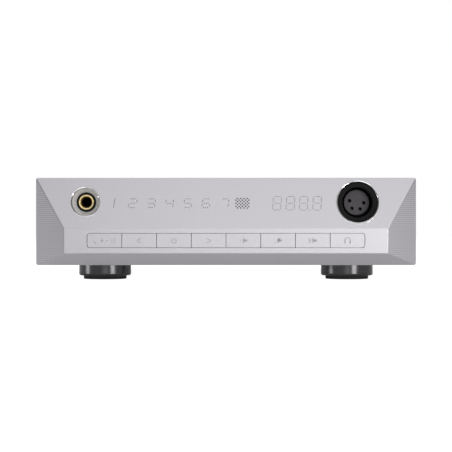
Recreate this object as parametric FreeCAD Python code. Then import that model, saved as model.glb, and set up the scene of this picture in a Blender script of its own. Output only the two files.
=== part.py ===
"""Half-width headphone amplifier and converter: a flat aluminium case on four feet.

Frame: X to the right seen from the front, -Y to the front, +Z up. The origin is at the middle of the
bounding box, at table height. Millimetres.
"""

import FreeCAD
import Part
import math
import os

Vector = FreeCAD.Vector

# ---- overall -------------------------------------------------------------------------------------
WIDTH = 235.0  # front panel, side to side
DEPTH = 281.0  # key strip to the tips of the rear sockets
BODY_HEIGHT = 54.0  # front panel, without the feet
FOOT_LIFT = 9.8  # table to the lower edge of the front panel
SOCKET_REACH = 10.5  # rear sockets stand this far out of the rear panel
PRINT_CLEAR = 0.05  # fixed pieces that sit in one another
SLIDE_CLEAR = 0.1  # pieces that slide in one another

# ---- front panel -----------------------------------------------------------------------------------
FACET_DEPTH = 8.0  # key strip to the panel's outline edge
PANEL_EDGE = 6.0  # plain edge behind the facets
SIDE_FACET = 18.15
BOTTOM_FACET = 7.4
STRIP_HEIGHT = 15.3
PANEL_CORNER = 1.3
STRIP_WALL = 3.0  # metal left around the keys
DISPLAY_WALL = 1.5  # metal left in front of the display

# ---- case --------------------------------------------------------------------------------------------
SETBACK = 0.5  # the case stands this far inside the front panel's outline
RAIL_WALL = 5.0
LEDGE_WIDTH = 7.0
LEDGE_THICK = 4.0
COVER_THICK = 3.0
BASE_THICK = 3.0
REAR_THICK = 3.0
TAB_WIDTH = 14.0
TAB_THICK = 3.0

# ---- screws ------------------------------------------------------------------------------------------
M3_R = 1.5
M3_HEAD_R = 2.75
M3_HEAD_H = 1.7
M3_LENGTH = 6.0
M3_SHORT = 5.0
M4_R = 2.0
M4_HEAD_R = 3.5
M4_HEAD_H = 2.2

# ---- feet --------------------------------------------------------------------------------------------
CUP_R = 16.75
CUP_EDGE = 1.3
PAD_R = 13.8
PAD_SHOWS = 2.2
PAD_SEAT = 1.0
FRONT_FOOT_X = 78.1
REAR_FOOT_X = 94.5
FOOT_INSET = 40.0  # foot axis to the panel's outline edge, and to the rear panel

# ---- keys --------------------------------------------------------------------------------------------
KEY_NAMES = ["gain_key", "input_back_key", "power_key", "input_next_key",
             "volume_down_key", "mute_key", "volume_up_key", "output_key"]
KEY_PITCH = 21.3
KEY_GAP = 0.3
KEY_RISE = 0.25  # key row above the middle of the strip
WINDOW_HEIGHT = 9.1
WINDOW_CORNER = 1.9
KEY_INSET = 0.15  # key face behind the strip's face
KEY_TRAVEL = 0.5
LIP_REACH = 1.0
LIP_THICK = 1.0
STEM_R = 1.5
SWITCH_SIDE = 6.0
SWITCH_HEIGHT = 3.4
SWITCH_WELL = 1.5
BOARD_THICK = 1.6
FRAME_PLATE = 1.5

# ---- display -----------------------------------------------------------------------------------------
DISPLAY_Z = 38.2  # centre line above the panel's lower edge
DISPLAY_X = (-76.0, 64.0)
DISPLAY_HALF_HEIGHT = 8.0
LAMP_X0 = -68.8
LAMP_PITCH = 11.32
LAMP_COUNT = 7
LAMP_SIDE = 8.0
RECEIVER_X = 10.1
DIGITS_X = (27.0, 61.0)
MODULE_HEIGHT = 12.0
MODULE_THICK = 3.4
DIFFUSER_THICK = 1.0

# ---- headphone jack (6.35 mm) --------------------------------------------------------------------------
JACK_FROM_SIDE = 30.6
JACK_Z = 39.0  # above the panel's lower edge
JACK_RING_R = 9.45
JACK_FUNNEL_R = 8.35
JACK_CHAMFER = 0.95
JACK_COLLAR_R = 6.0
JACK_BUSH_R = 4.75
JACK_BORE_R = 3.25
JACK_WAY_R = 4.2  # room for the plug behind the bushing
JACK_BUSH_LENGTH = 12.0
JACK_BODY_SIDE = 17.0
JACK_BODY_LENGTH = 33.0
COLLAR_PROUD = 0.7  # collar in front of the panel's back
BUSH_PROUD = 0.6  # bushing in front of the collar

# ---- four-pin headphone socket ---------------------------------------------------------------------------
XLR_FROM_SIDE = 36.2
XLR_Z = 38.8
XLR_RING_R = 13.6
XLR_CHAMFER = 1.35
XLR_SHELL_R = 12.1
XLR_BARREL_R = 10.9
XLR_GAP_R = 9.6
XLR_INSERT_R = 7.8
XLR_PIN_R = 1.1
XLR_PIN_CIRCLE = 4.5
XLR_PIN_ANGLES = (165.0, 232.0, 300.0, 358.0)
XLR_SEAT = 6.0  # contacts behind the insert's face
XLR_RIM = 8.0  # shell rim in front of the panel's back
XLR_GAP_DEPTH = 22.0
XLR_LENGTH = 24.0  # barrel behind the panel

# ---- inside ------------------------------------------------------------------------------------------
STANDOFF = 6.0
STANDOFF_R = 3.0
BOARD_MARGIN = 14.5  # boards stop this far behind the front panel
BOARD_EDGE = 1.0  # board past the outermost phono socket on it
POWER_BOARD_WIDTH = 84.0
COIL_R = 36.0
COIL_HOLE_R = 12.0
COIL_HEIGHT = 30.0
COIL_FROM_REAR = 68.0
COIL_FROM_RAIL = 44.0
SINK = (70.0, 17.0, 28.0)
SINK_FROM_EDGE = 80.0  # heat sink to the main board's front edge
SINK_FINS = 12
FIN_THICK = 1.5

# ---- rear panel ----------------------------------------------------------------------------------------
SOCKET_ROW = 10.5  # upper and lower rows, from the line midway between them
XLR_OUT_X = (-92.0, -62.0)
RCA_X = (-40.0, -25.0, -10.0, 5.0)
OPTICAL_X = 21.0
USB_X = 36.0
ROCKER_X = 53.0
INLET_X = 87.0
RCA_R = 4.15
RCA_ROOT_R = 4.8  # barrel where it passes through the rear panel
RCA_BODY = 12.0
OUT_FLANGE = (26.0, 31.0, 2.0)
OUT_BARREL_R = 11.7
OUT_CAVITY_R = 9.5
OUT_PIN_R = 1.2
OUT_PIN_CIRCLE = 4.0
OUT_CAVITY_DEPTH = 16.0
OUT_RECESS = 4.5
OPTICAL_BODY = (13.6, 14.0)
OPTICAL_MOUTH = 9.0
FLAP_THICK = 0.8
USB_BODY = (12.0, 11.0)
INLET_FLANGE = (50.0, 31.0, 3.0)
INLET_BODY = (27.0, 30.4, 24.0)
INLET_CAVITY = (24.2, 16.4, 20.0)
DRAWER = (21.4, 7.2)
DRAWER_LENGTH = 20.0
DRAWER_PLATE = 1.5
FUSE_R = 2.6
FUSE_LENGTH = 20.0
ROCKER_BEZEL = (15.0, 21.0, 1.8)
ROCKER_TILT = 10.0
ROCKER_HALF = (5.2, 8.0)
ROCKER_WELL = (5.5, 8.8)
ROCKER_PIVOT_IN = 0.3
FIT_GAP = 0.15  # rear panel cut-outs around what they hold

# ---- worked out from the above ---------------------------------------------------------------------------
STRIP_Y = -DEPTH / 2
OUTLINE_Y = STRIP_Y + FACET_DEPTH
PANEL_BACK = OUTLINE_Y + PANEL_EDGE
REAR_Y = DEPTH / 2 - SOCKET_REACH
REAR_IN = REAR_Y - REAR_THICK
HALF = WIDTH / 2
TOP_Z = FOOT_LIFT + BODY_HEIGHT
STRIP_X = HALF - SIDE_FACET
STRIP_Z0 = FOOT_LIFT + BOTTOM_FACET
STRIP_Z1 = STRIP_Z0 + STRIP_HEIGHT
CASE_X = HALF - SETBACK
CASE_Z0 = FOOT_LIFT + SETBACK
CASE_Z1 = TOP_Z - SETBACK
FOOT_SCREW_Z = CASE_Z0 - 3.3
RAIL_X = CASE_X - RAIL_WALL
COVER_Z = CASE_Z1 - COVER_THICK
BASE_Z = CASE_Z0 + BASE_THICK
BOARD_Z = BASE_Z + STANDOFF
BOARD_TOP = BOARD_Z + BOARD_THICK
LEAN = math.atan2(FACET_DEPTH, TOP_Z - STRIP_Z1)
KEY_Z = STRIP_Z0 + STRIP_HEIGHT / 2 + KEY_RISE
WINDOW_WIDTH = len(KEY_NAMES) * KEY_PITCH + KEY_GAP
STRIP_BACK = STRIP_Y + STRIP_WALL
LIP_Y = STRIP_BACK + SLIDE_CLEAR
GUIDE_Y = LIP_Y + LIP_THICK + KEY_TRAVEL + 1.4
SWITCH_Y = GUIDE_Y + FRAME_PLATE + 0.6
SWITCH_BOARD_Y = SWITCH_Y + SWITCH_HEIGHT
STEM_END = SWITCH_Y + SWITCH_WELL - KEY_TRAVEL - 0.3
JACK_X = -HALF + JACK_FROM_SIDE
XLR_X = HALF - XLR_FROM_SIDE
COIL_X = RAIL_X - COIL_FROM_RAIL
COIL_Y = REAR_IN - COIL_FROM_REAR
SOCKET_Z = BOARD_TOP + RCA_BODY / 2 + SOCKET_ROW  # the lower row stands on the main board
PIVOT_Y = REAR_Y + ROCKER_PIVOT_IN
INLET_Z = SOCKET_Z + 5.0
DRAWER_Z = SOCKET_Z - 9.0
FRONT, BACK, UP, DOWN = Vector(0, -1, 0), Vector(0, 1, 0), Vector(0, 0, 1), Vector(0, 0, -1)
LEFT, RIGHT = Vector(-1, 0, 0), Vector(1, 0, 0)


# ---- helpers -----------------------------------------------------------------------------------------
def box(x0, x1, y0, y1, z0, z1):
    return Part.makeBox(x1 - x0, y1 - y0, z1 - z0, Vector(x0, y0, z0))


def block(x, y0, z, width, length, height):
    """A box centred on x and z that starts at y0."""
    return box(x - width / 2, x + width / 2, y0, y0 + length, z - height / 2, z + height / 2)


def rod(radius, start, length, direction):
    return Part.makeCylinder(radius, length, Vector(*start), direction)


def tube(outer, inner, start, length, direction):
    return rod(outer, start, length, direction).cut(rod(inner, start, length, direction))


def cone(radius0, radius1, start, length, direction):
    return Part.makeCone(radius0, radius1, length, Vector(*start), direction)


def joined(shapes):
    return shapes[0].multiFuse(shapes[1:]).removeSplitter()


def cut(shape, tools):
    return shape.cut(Part.makeCompound(tools))


def rounded(shape, radius, direction):
    """Fillets the straight edges that run along a direction."""
    edges = [e for e in shape.Edges if isinstance(e.Curve, Part.Line)
             and abs(abs(e.tangentAt(e.FirstParameter).dot(direction)) - 1) < 1e-6]
    return shape.makeFillet(radius, edges)


def prism(points, direction):
    """A polygon's prism along a vector."""
    corners = [Vector(*p) for p in points]
    return Part.Face(Part.makePolygon(corners + corners[:1])).extrude(direction)


def save(name, shapes):
    whole = shapes[0] if len(shapes) == 1 else Part.makeCompound(shapes)
    whole.exportStep("parts/" + name + ".step")


def face_y(z):
    """The leaning upper face's Y at a height."""
    return STRIP_Y + (z - STRIP_Z1) * math.tan(LEAN)


def on_face(shape):
    """Puts a shape drawn with x, depth and height from the display's centre on the leaning face."""
    z = FOOT_LIFT + DISPLAY_Z
    turn = FreeCAD.Rotation(RIGHT, -math.degrees(LEAN))
    placed = shape.copy()
    placed.Placement = FreeCAD.Placement(Vector(0, face_y(z), z), turn)
    return placed


# ---- screws ------------------------------------------------------------------------------------------
def screw(seat, direction, length, radius, head_r, head_h):
    """A cap screw: the head's underside is at seat and the shank runs along direction."""
    start = Vector(*seat)
    top = start - direction * head_h
    shape = joined([rod(head_r, top, head_h, direction), rod(radius, start, length, direction)])
    across = RIGHT if abs(direction.x) < 0.5 else UP
    side = direction.cross(across)
    socket_r = head_r * 0.5
    ring = [top + (across * math.cos(a) + side * math.sin(a)) * socket_r
            for a in (math.radians(60 * k) for k in range(6))]
    return shape.cut(prism([tuple(p) for p in ring], direction * head_h * 0.6))


def m3(seat, direction, length=M3_LENGTH):
    return screw(seat, direction, length, M3_R, M3_HEAD_R, M3_HEAD_H)


def m3_hole(seat, direction, length=M3_LENGTH):
    """Clearance for an M3 screw: its shank, and room for its head on the outside."""
    start = Vector(*seat)
    shank = rod(M3_R + PRINT_CLEAR, start - direction * 0.5, length + 1.0, direction)
    head = rod(M3_HEAD_R + 0.2, start - direction * (M3_HEAD_H + 2.0), M3_HEAD_H + 2.0, direction)
    return shank.fuse(head)


def cover_sites():
    x = RAIL_X - LEDGE_WIDTH / 2
    ys = (PANEL_BACK + 12, (PANEL_BACK + REAR_IN) / 2, REAR_IN - 14)
    return [((side * x, y, CASE_Z1 - M3_HEAD_H), DOWN) for side in (-1, 1) for y in ys]


def base_sites():
    return [((p[0], p[1], CASE_Z0 + M3_HEAD_H), UP) for p, _ in cover_sites()]


def rear_sites():
    x = RAIL_X + 1.0
    return [((side * x, REAR_Y - M3_HEAD_H, z), FRONT) for side in (-1, 1)
            for z in (BASE_Z + LEDGE_THICK / 2, COVER_Z - LEDGE_THICK / 2)]


def front_sites():
    x = RAIL_X - TAB_WIDTH / 2
    return [((side * x, PANEL_BACK + TAB_THICK, z), FRONT) for side in (-1, 1)
            for z in (BASE_Z + 13, COVER_Z - 12)]


def xlr_flange_sites():
    return [((XLR_X + s * 12, PANEL_BACK + 2.0, FOOT_LIFT + XLR_Z - 12), FRONT) for s in (-1, 1)]


def out_flange_sites():
    half_x, half_z = OUT_FLANGE[0] / 2 - 3.4, OUT_FLANGE[1] / 2 - 3.6
    return [((x + s * half_x, REAR_Y + OUT_FLANGE[2], SOCKET_Z + s * half_z), FRONT)
            for x in XLR_OUT_X for s in (-1, 1)]


def inlet_sites():
    return [((INLET_X + s * 20, REAR_Y + INLET_FLANGE[2], SOCKET_Z), FRONT) for s in (-1, 1)]


def main_board_box():
    """It reaches the rear panel and carries the phono sockets' lower row."""
    x1 = max(RCA_X) + RCA_BODY / 2 + BOARD_EDGE
    return -RAIL_X + 2.0, x1, PANEL_BACK + BOARD_MARGIN, REAR_IN - 1.0


def power_board_box():
    """It stops just in front of the transformer."""
    x1 = RAIL_X - LEDGE_WIDTH - 1.0
    return x1 - POWER_BOARD_WIDTH, x1, PANEL_BACK + BOARD_MARGIN, COIL_Y - COIL_R - 3.0


def board_sites():
    sites = []
    for x0, x1, y0, y1 in (main_board_box(), power_board_box()):
        inset = LEDGE_WIDTH + 3.0
        sites += [(x, y, BOARD_TOP) for x in (x0 + inset, x1 - 5) for y in (y0 + 6, y1 - 18)]
    return sites


# ---- front panel ---------------------------------------------------------------------------------------
def panel_blank():
    """The slab with its four facets, before anything is cut."""
    z0, z1 = FOOT_LIFT, TOP_Z
    a = [Vector(x, STRIP_Y, z) for x, z in ((-STRIP_X, STRIP_Z0), (STRIP_X, STRIP_Z0),
                                            (STRIP_X, STRIP_Z1), (-STRIP_X, STRIP_Z1))]
    b = [Vector(x, OUTLINE_Y, z) for x, z in ((-HALF, z0), (HALF, z0), (HALF, z1), (-HALF, z1))]
    rings = [a, b[::-1]] + [[a[k], b[k], b[(k + 1) % 4], a[(k + 1) % 4]] for k in range(4)]
    faces = [Part.Face(Part.makePolygon(ring + ring[:1])) for ring in rings]
    facets = Part.Solid(Part.Shell(faces))
    slab = box(-HALF, HALF, OUTLINE_Y, PANEL_BACK, z0, z1)
    outline = rounded(box(-HALF, HALF, STRIP_Y - 1, PANEL_BACK + 1, z0, z1), PANEL_CORNER, BACK)
    return joined([facets, slab]).common(outline)


def key_window(y0, y1, grow=0.0):
    width, height = WINDOW_WIDTH + 2 * grow, WINDOW_HEIGHT + 2 * grow
    shape = block(0, y0, KEY_Z, width, y1 - y0, height)
    return rounded(shape, WINDOW_CORNER + grow, BACK)


def key_pocket(y0, grow=0.0):
    half = WINDOW_WIDTH / 2 + LIP_REACH + 3.0 + grow
    height = WINDOW_HEIGHT + 2 * (LIP_REACH + 1.0 + grow)
    return block(0, y0, KEY_Z, 2 * half, PANEL_BACK - y0 + 1, height)


def display_pocket():
    h = DISPLAY_HALF_HEIGHT
    return on_face(box(DISPLAY_X[0], DISPLAY_X[1], DISPLAY_WALL, 30, -h, h))


def front_panel(blank):
    jack_z, xlr_z = FOOT_LIFT + JACK_Z, FOOT_LIFT + XLR_Z
    reach = PANEL_BACK - STRIP_Y + 2
    tools = [key_window(STRIP_Y - 1, STRIP_BACK + 1), key_pocket(STRIP_BACK), display_pocket(),
             rod(JACK_RING_R + PRINT_CLEAR, (JACK_X, STRIP_Y - 1, jack_z), reach, BACK),
             rod(XLR_RING_R + PRINT_CLEAR, (XLR_X, STRIP_Y - 1, xlr_z), reach - 3.5, BACK),
             rod(XLR_SHELL_R + PRINT_CLEAR, (XLR_X, STRIP_Y - 1, xlr_z), reach, BACK)]
    tools += [m3_hole(p, d) for p, d in front_sites()]
    tools += [m3_hole(p, d, M3_SHORT) for p, d in xlr_flange_sites()]
    return cut(blank, tools)


def trim_ring(blank, x, z, radius, inner, chamfer, back):
    """A ring flush with the leaning face, with a chamfered mouth."""
    outer = rod(radius, (x, STRIP_Y - 1, z), back - STRIP_Y + 1, BACK)
    ring = outer.common(blank).cut(inner).Solids[0]

    def mouth(edge):
        reach = max(math.hypot(p.x - x, p.z - z) for p in edge.discretize(9))
        return reach < radius - 0.3 and edge.BoundBox.YMin < face_y(z)

    return ring.makeChamfer(chamfer, [e for e in ring.Edges if mouth(e)])


def jack_trim_ring(blank):
    """Its bore is straight at the mouth and then narrows to the jack's collar."""
    z = FOOT_LIFT + JACK_Z
    collar_r = JACK_COLLAR_R + SLIDE_CLEAR
    y0, y1 = STRIP_Y - 1, PANEL_BACK - COLLAR_PROUD
    narrows = face_y(z + JACK_RING_R) + JACK_CHAMFER + 0.3
    inner = joined([rod(JACK_FUNNEL_R, (JACK_X, y0, z), narrows - y0, BACK),
                    cone(JACK_FUNNEL_R, collar_r, (JACK_X, narrows, z), y1 - narrows, BACK),
                    rod(collar_r, (JACK_X, y0, z), PANEL_BACK - y0 + 1, BACK)])
    return trim_ring(blank, JACK_X, z, JACK_RING_R, inner, JACK_CHAMFER, PANEL_BACK)


def xlr_trim_ring(blank):
    z = FOOT_LIFT + XLR_Z
    inner = rod(XLR_SHELL_R + PRINT_CLEAR, (XLR_X, STRIP_Y - 1, z), 30, BACK)
    return trim_ring(blank, XLR_X, z, XLR_RING_R, inner, XLR_CHAMFER, PANEL_BACK - 2.5)


# ---- keys and their switches -----------------------------------------------------------------------------
def key_x(index):
    return (index - (len(KEY_NAMES) - 1) / 2) * KEY_PITCH


def key(index):
    x, width = key_x(index), KEY_PITCH - KEY_GAP
    front = STRIP_Y + KEY_INSET
    slice_box = block(x, front, KEY_Z, width, LIP_Y - front, WINDOW_HEIGHT)
    cap = slice_box.common(key_window(front - 1, LIP_Y + 1, -KEY_GAP))
    lip = block(x, LIP_Y, KEY_Z, width, LIP_THICK, WINDOW_HEIGHT + 2 * LIP_REACH)
    stem = rod(STEM_R, (x, LIP_Y, KEY_Z), STEM_END - LIP_Y, BACK)
    return joined([cap, lip, stem])


def key_frame():
    """Guides the key stems and carries the switch board."""
    outer = key_pocket(GUIDE_Y, -SLIDE_CLEAR).common(
        block(0, GUIDE_Y, KEY_Z, WIDTH, SWITCH_BOARD_Y - GUIDE_Y, BODY_HEIGHT))
    inner = key_pocket(GUIDE_Y + FRAME_PLATE, -SLIDE_CLEAR - 1.5)
    holes = [rod(STEM_R + SLIDE_CLEAR, (key_x(k), GUIDE_Y - 1, KEY_Z), 6, BACK)
             for k in range(len(KEY_NAMES))]
    return cut(outer, [inner] + holes)


def button_board():
    return key_pocket(SWITCH_BOARD_Y, -SLIDE_CLEAR).common(
        block(0, SWITCH_BOARD_Y, KEY_Z, WIDTH, BOARD_THICK, BODY_HEIGHT))


def tact_switches():
    side = SWITCH_SIDE
    well_r = STEM_R + 0.25
    return [block(key_x(k), SWITCH_Y, KEY_Z, side, SWITCH_HEIGHT, side).cut(
        rod(well_r, (key_x(k), SWITCH_Y, KEY_Z), SWITCH_WELL, BACK)) for k in range(len(KEY_NAMES))]


# ---- display -----------------------------------------------------------------------------------------
def display_parts():
    """Diffuser, lamps, digit module, receiver and their board, drawn square to the leaning face."""
    x0, x1 = DISPLAY_X[0] + 0.5, DISPLAY_X[1] - 0.5
    h = DISPLAY_HALF_HEIGHT - 0.5
    front = DISPLAY_WALL
    seat = front + DIFFUSER_THICK
    board = seat + MODULE_THICK
    lamp, tall = LAMP_SIDE / 2, MODULE_HEIGHT / 2
    lamps = [box(x - lamp, x + lamp, seat, board, -lamp, lamp)
             for x in (LAMP_X0 + k * LAMP_PITCH for k in range(LAMP_COUNT))]
    digits = box(DIGITS_X[0], DIGITS_X[1], seat, board, -tall, tall)
    body = box(RECEIVER_X - 3.5, RECEIVER_X + 3.5, seat + 1.4, board, -4.2, 4.2)
    lens = rod(2.2, (RECEIVER_X, seat + 0.2, 0), 1.2, BACK)
    save("display_diffuser", [on_face(box(x0, x1, front, seat, -h, h))])
    save("input_lamps", [on_face(s) for s in lamps])
    save("digit_module", [on_face(digits)])
    save("remote_receiver", [on_face(joined([body, lens]))])
    save("display_board", [on_face(box(x0, x1, board, board + BOARD_THICK, -h, h))])


# ---- headphone jack ------------------------------------------------------------------------------------
def jack_parts():
    z = FOOT_LIFT + JACK_Z
    collar_y = PANEL_BACK - COLLAR_PROUD
    bush_y = collar_y - BUSH_PROUD
    end = PANEL_BACK + JACK_BODY_LENGTH
    body = joined([rod(JACK_COLLAR_R, (JACK_X, collar_y, z), COLLAR_PROUD + 1, BACK),
                   block(JACK_X, PANEL_BACK, z, JACK_BODY_SIDE, JACK_BODY_LENGTH, JACK_BODY_SIDE)])
    bush_hole = rod(JACK_BUSH_R + PRINT_CLEAR, (JACK_X, collar_y - 1, z),
                    JACK_BUSH_LENGTH - BUSH_PROUD + 1, BACK)
    plug_hole = rod(JACK_WAY_R, (JACK_X, collar_y, z), end - collar_y + 1, BACK)
    spots = [(9.0, 1), (16.0, -1), (23.0, 1)]
    springs, slots = [], []
    for back, side in spots:
        y = PANEL_BACK + JACK_BUSH_LENGTH - 2 + back * 0.72
        z0 = z + side * (JACK_BORE_R + 1.6)
        leaf = block(JACK_X, y, z0, 3.0, 3.4, 0.5)
        tail = box(JACK_X - 1.0, JACK_X + 1.0, y + 1.2, y + 2.2, min(z0, z - JACK_BODY_SIDE / 2 - 4),
                   z0) if side < 0 else box(JACK_X - 1.0, JACK_X + 1.0, y + 1.2, y + 2.2, z0,
                                            z + JACK_BODY_SIDE / 2 + 1.2)
        springs.append(joined([leaf, tail]))
        slots.append(block(JACK_X, y - 0.2, z + side * (JACK_BODY_SIDE / 4 + 1.7), 3.4, 3.8,
                           JACK_BODY_SIDE / 2))
    save("jack_body", [cut(body, [bush_hole, plug_hole] + slots)])
    save("jack_bushing", [tube(JACK_BUSH_R, JACK_BORE_R, (JACK_X, bush_y, z), JACK_BUSH_LENGTH, BACK)])
    save("jack_contacts", springs)


# ---- four-pin headphone socket ---------------------------------------------------------------------------
def xlr_pin_places(x, z, circle, angles):
    return [(x + circle * math.cos(math.radians(a)), z + circle * math.sin(math.radians(a)))
            for a in angles]


def xlr_parts():
    z = FOOT_LIFT + XLR_Z
    rim, end = PANEL_BACK - XLR_RIM, PANEL_BACK + XLR_LENGTH
    places = xlr_pin_places(XLR_X, z, XLR_PIN_CIRCLE, XLR_PIN_ANGLES)
    flange = box(XLR_X - 15, XLR_X + 15, PANEL_BACK, PANEL_BACK + 2, z - 15.5, z - 2)
    shell = joined([rod(XLR_SHELL_R, (XLR_X, rim, z), XLR_RIM - 0.1, BACK),
                    rod(XLR_BARREL_R, (XLR_X, rim, z), end - rim, BACK), flange])
    gap = rod(XLR_GAP_R, (XLR_X, rim - 1, z), XLR_GAP_DEPTH + 1, BACK)
    core = rod(XLR_INSERT_R, (XLR_X, rim - 1, z), end - rim + 2, BACK)
    holes = [m3_hole(p, d, M3_SHORT) for p, d in xlr_flange_sites()]
    insert_y = PANEL_BACK + 0.5
    pin_holes = [rod(XLR_PIN_R, (px, insert_y - 1, pz), 16, BACK) for px, pz in places]
    seats = [rod(1.5, (px, insert_y + XLR_SEAT, pz), end - insert_y, BACK) for px, pz in places]
    insert = rod(XLR_INSERT_R - PRINT_CLEAR, (XLR_X, insert_y, z), end - insert_y, BACK)
    contacts = [rod(1.5 - PRINT_CLEAR, (px, insert_y + XLR_SEAT, pz), 13, BACK).cut(
        rod(XLR_PIN_R, (px, insert_y + XLR_SEAT - 1, pz), 11, BACK)).fuse(
        rod(0.8, (px, insert_y + XLR_SEAT + 13, pz), end + 4 - insert_y - XLR_SEAT - 13, BACK))
        for px, pz in places]
    save("xlr_shell", [cut(shell, [gap, core] + holes)])
    save("xlr_insert", [cut(insert, pin_holes + seats)])
    save("xlr_contacts", contacts)


# ---- case --------------------------------------------------------------------------------------------
def side_rail(side):
    """A side wall with a ledge under the cover, one over the base and a tab behind the front panel."""
    inner = RAIL_X - LEDGE_WIDTH
    wall = box(RAIL_X, CASE_X, PANEL_BACK, REAR_IN, CASE_Z0, CASE_Z1)
    ledges = [box(inner, RAIL_X, PANEL_BACK, REAR_IN, z, z + LEDGE_THICK)
              for z in (BASE_Z, COVER_Z - LEDGE_THICK)]
    tab = box(RAIL_X - TAB_WIDTH, RAIL_X, PANEL_BACK, PANEL_BACK + TAB_THICK, BASE_Z, COVER_Z)
    rail = joined([wall, tab] + ledges)
    if side < 0:
        rail = rail.mirror(Vector(0, 0, 0), RIGHT)
    sites = cover_sites() + base_sites() + rear_sites() + front_sites()
    return cut(rail, [m3_hole(p, d) for p, d in sites if p[0] * side > 0])


def top_cover():
    x = RAIL_X - SLIDE_CLEAR
    plate = box(-x, x, PANEL_BACK, REAR_IN - SLIDE_CLEAR, COVER_Z, CASE_Z1)
    return cut(plate, [m3_hole(p, d) for p, d in cover_sites()])


def vent_slots():
    """Air slots in the base, under the main board's heat sink and under the power board."""
    slots = []
    for x in (sum(board[:2]) / 2 for board in (main_board_box(), power_board_box())):
        for k in range(7):
            y = PANEL_BACK + 60 + 8 * k
            slots.append(rounded(block(x, y, CASE_Z0, 24, 3, 2 * BASE_THICK + 2)
                                 .common(box(-HALF, HALF, y, y + 3, CASE_Z0 - 1, BASE_Z + 1)), 1.4, UP))
    return slots


def foot_places():
    front, back = OUTLINE_Y + FOOT_INSET, REAR_Y - FOOT_INSET
    return [(s * x, y) for x, y in ((FRONT_FOOT_X, front), (REAR_FOOT_X, back)) for s in (-1, 1)]


def bottom_plate():
    x = RAIL_X - SLIDE_CLEAR
    plate = box(-x, x, PANEL_BACK, REAR_IN - SLIDE_CLEAR, CASE_Z0, BASE_Z)
    tools = [m3_hole(p, d) for p, d in base_sites()] + vent_slots()
    tools += [rod(M4_R + PRINT_CLEAR, (fx, fy, CASE_Z0 - 1), BASE_THICK + 2, UP) for fx, fy in foot_places()]
    tools += [rod(2.5 + PRINT_CLEAR, (COIL_X, COIL_Y, CASE_Z0 - 1), BASE_THICK + 2, UP)]
    return cut(plate, tools)


def socket_cutouts():
    """Openings in the rear panel, each as large as the piece in it plus a small gap."""
    y0, length, g = REAR_IN - 1, REAR_THICK + 2, FIT_GAP
    cuts = [rod(OUT_BARREL_R + g, (x, y0, SOCKET_Z), length, BACK) for x in XLR_OUT_X]
    cuts += [rod(RCA_ROOT_R + g, (x, y0, z), length, BACK) for x in RCA_X for z in socket_rows()]
    cuts += [block(OPTICAL_X, y0, z + 0.65, OPTICAL_BODY[0] + 2 * g, length, OPTICAL_BODY[1] + 2 * g)
             for z in socket_rows()]
    cuts += [block(USB_X, y0, SOCKET_Z, USB_BODY[0] + 2 * g, length, USB_BODY[1] + 2 * g),
             block(ROCKER_X, y0, SOCKET_Z, ROCKER_BEZEL[0] - 2, length, ROCKER_BEZEL[1] - 2),
             block(INLET_X, y0, SOCKET_Z, INLET_BODY[0] + 2 * g, length, INLET_BODY[1] + 2 * g)]
    return cuts


def rear_panel():
    plate = rounded(box(-CASE_X, CASE_X, REAR_IN, REAR_Y, CASE_Z0, CASE_Z1), PANEL_CORNER, BACK)
    tools = socket_cutouts() + [m3_hole(p, d) for p, d in rear_sites()]
    tools += [m3_hole(p, d, M3_LENGTH) for p, d in out_flange_sites() + inlet_sites()]
    return cut(plate, tools)


# ---- feet --------------------------------------------------------------------------------------------
def foot_parts():
    cups, pads, screws = [], [], []
    seat = PAD_SHOWS + PAD_SEAT
    head_z = FOOT_SCREW_Z
    for x, y in foot_places():
        cup = rod(CUP_R, (x, y, PAD_SHOWS), CASE_Z0 - PAD_SHOWS, UP)
        low = [e for e in cup.Edges if e.BoundBox.ZMax < PAD_SHOWS + 0.01]
        cup = cup.makeFillet(CUP_EDGE, low)
        tools = [rod(PAD_R + PRINT_CLEAR, (x, y, PAD_SHOWS - 1), PAD_SEAT + 1, UP),
                 rod(M4_HEAD_R + 0.3, (x, y, seat - 1), head_z - seat + 1, UP),
                 rod(M4_R + PRINT_CLEAR, (x, y, seat), CASE_Z0 - seat + 1, UP)]
        cups.append(cut(cup, tools))
        pads.append(rod(PAD_R, (x, y, 0), seat, UP))
        screws.append(screw((x, y, head_z), UP, BASE_Z - head_z - 0.3, M4_R, M4_HEAD_R, M4_HEAD_H))
    save("foot_cups", cups)
    save("foot_pads", pads)
    save("foot_screws", screws)


# ---- boards and what stands on them ----------------------------------------------------------------------
def boards():
    for name, (x0, x1, y0, y1) in (("main_board", main_board_box()), ("power_board", power_board_box())):
        plate = box(x0, x1, y0, y1, BOARD_Z, BOARD_TOP)
        holes = [rod(M3_R + PRINT_CLEAR, (x, y, BOARD_Z - 1), BOARD_THICK + 2, UP)
                 for x, y, _ in board_sites() if x0 < x < x1 and y0 < y < y1]
        save(name, [cut(plate, holes)])
    save("board_standoffs", [tube(STANDOFF_R, M3_R + PRINT_CLEAR, (x, y, BASE_Z), STANDOFF, UP)
                             for x, y, _ in board_sites()])
    save("board_screws", [m3(p, DOWN, M3_SHORT) for p in board_sites()])


def standing(x, y, width, length, height):
    return box(x - width / 2, x + width / 2, y - length / 2, y + length / 2, BOARD_TOP, BOARD_TOP + height)


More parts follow.
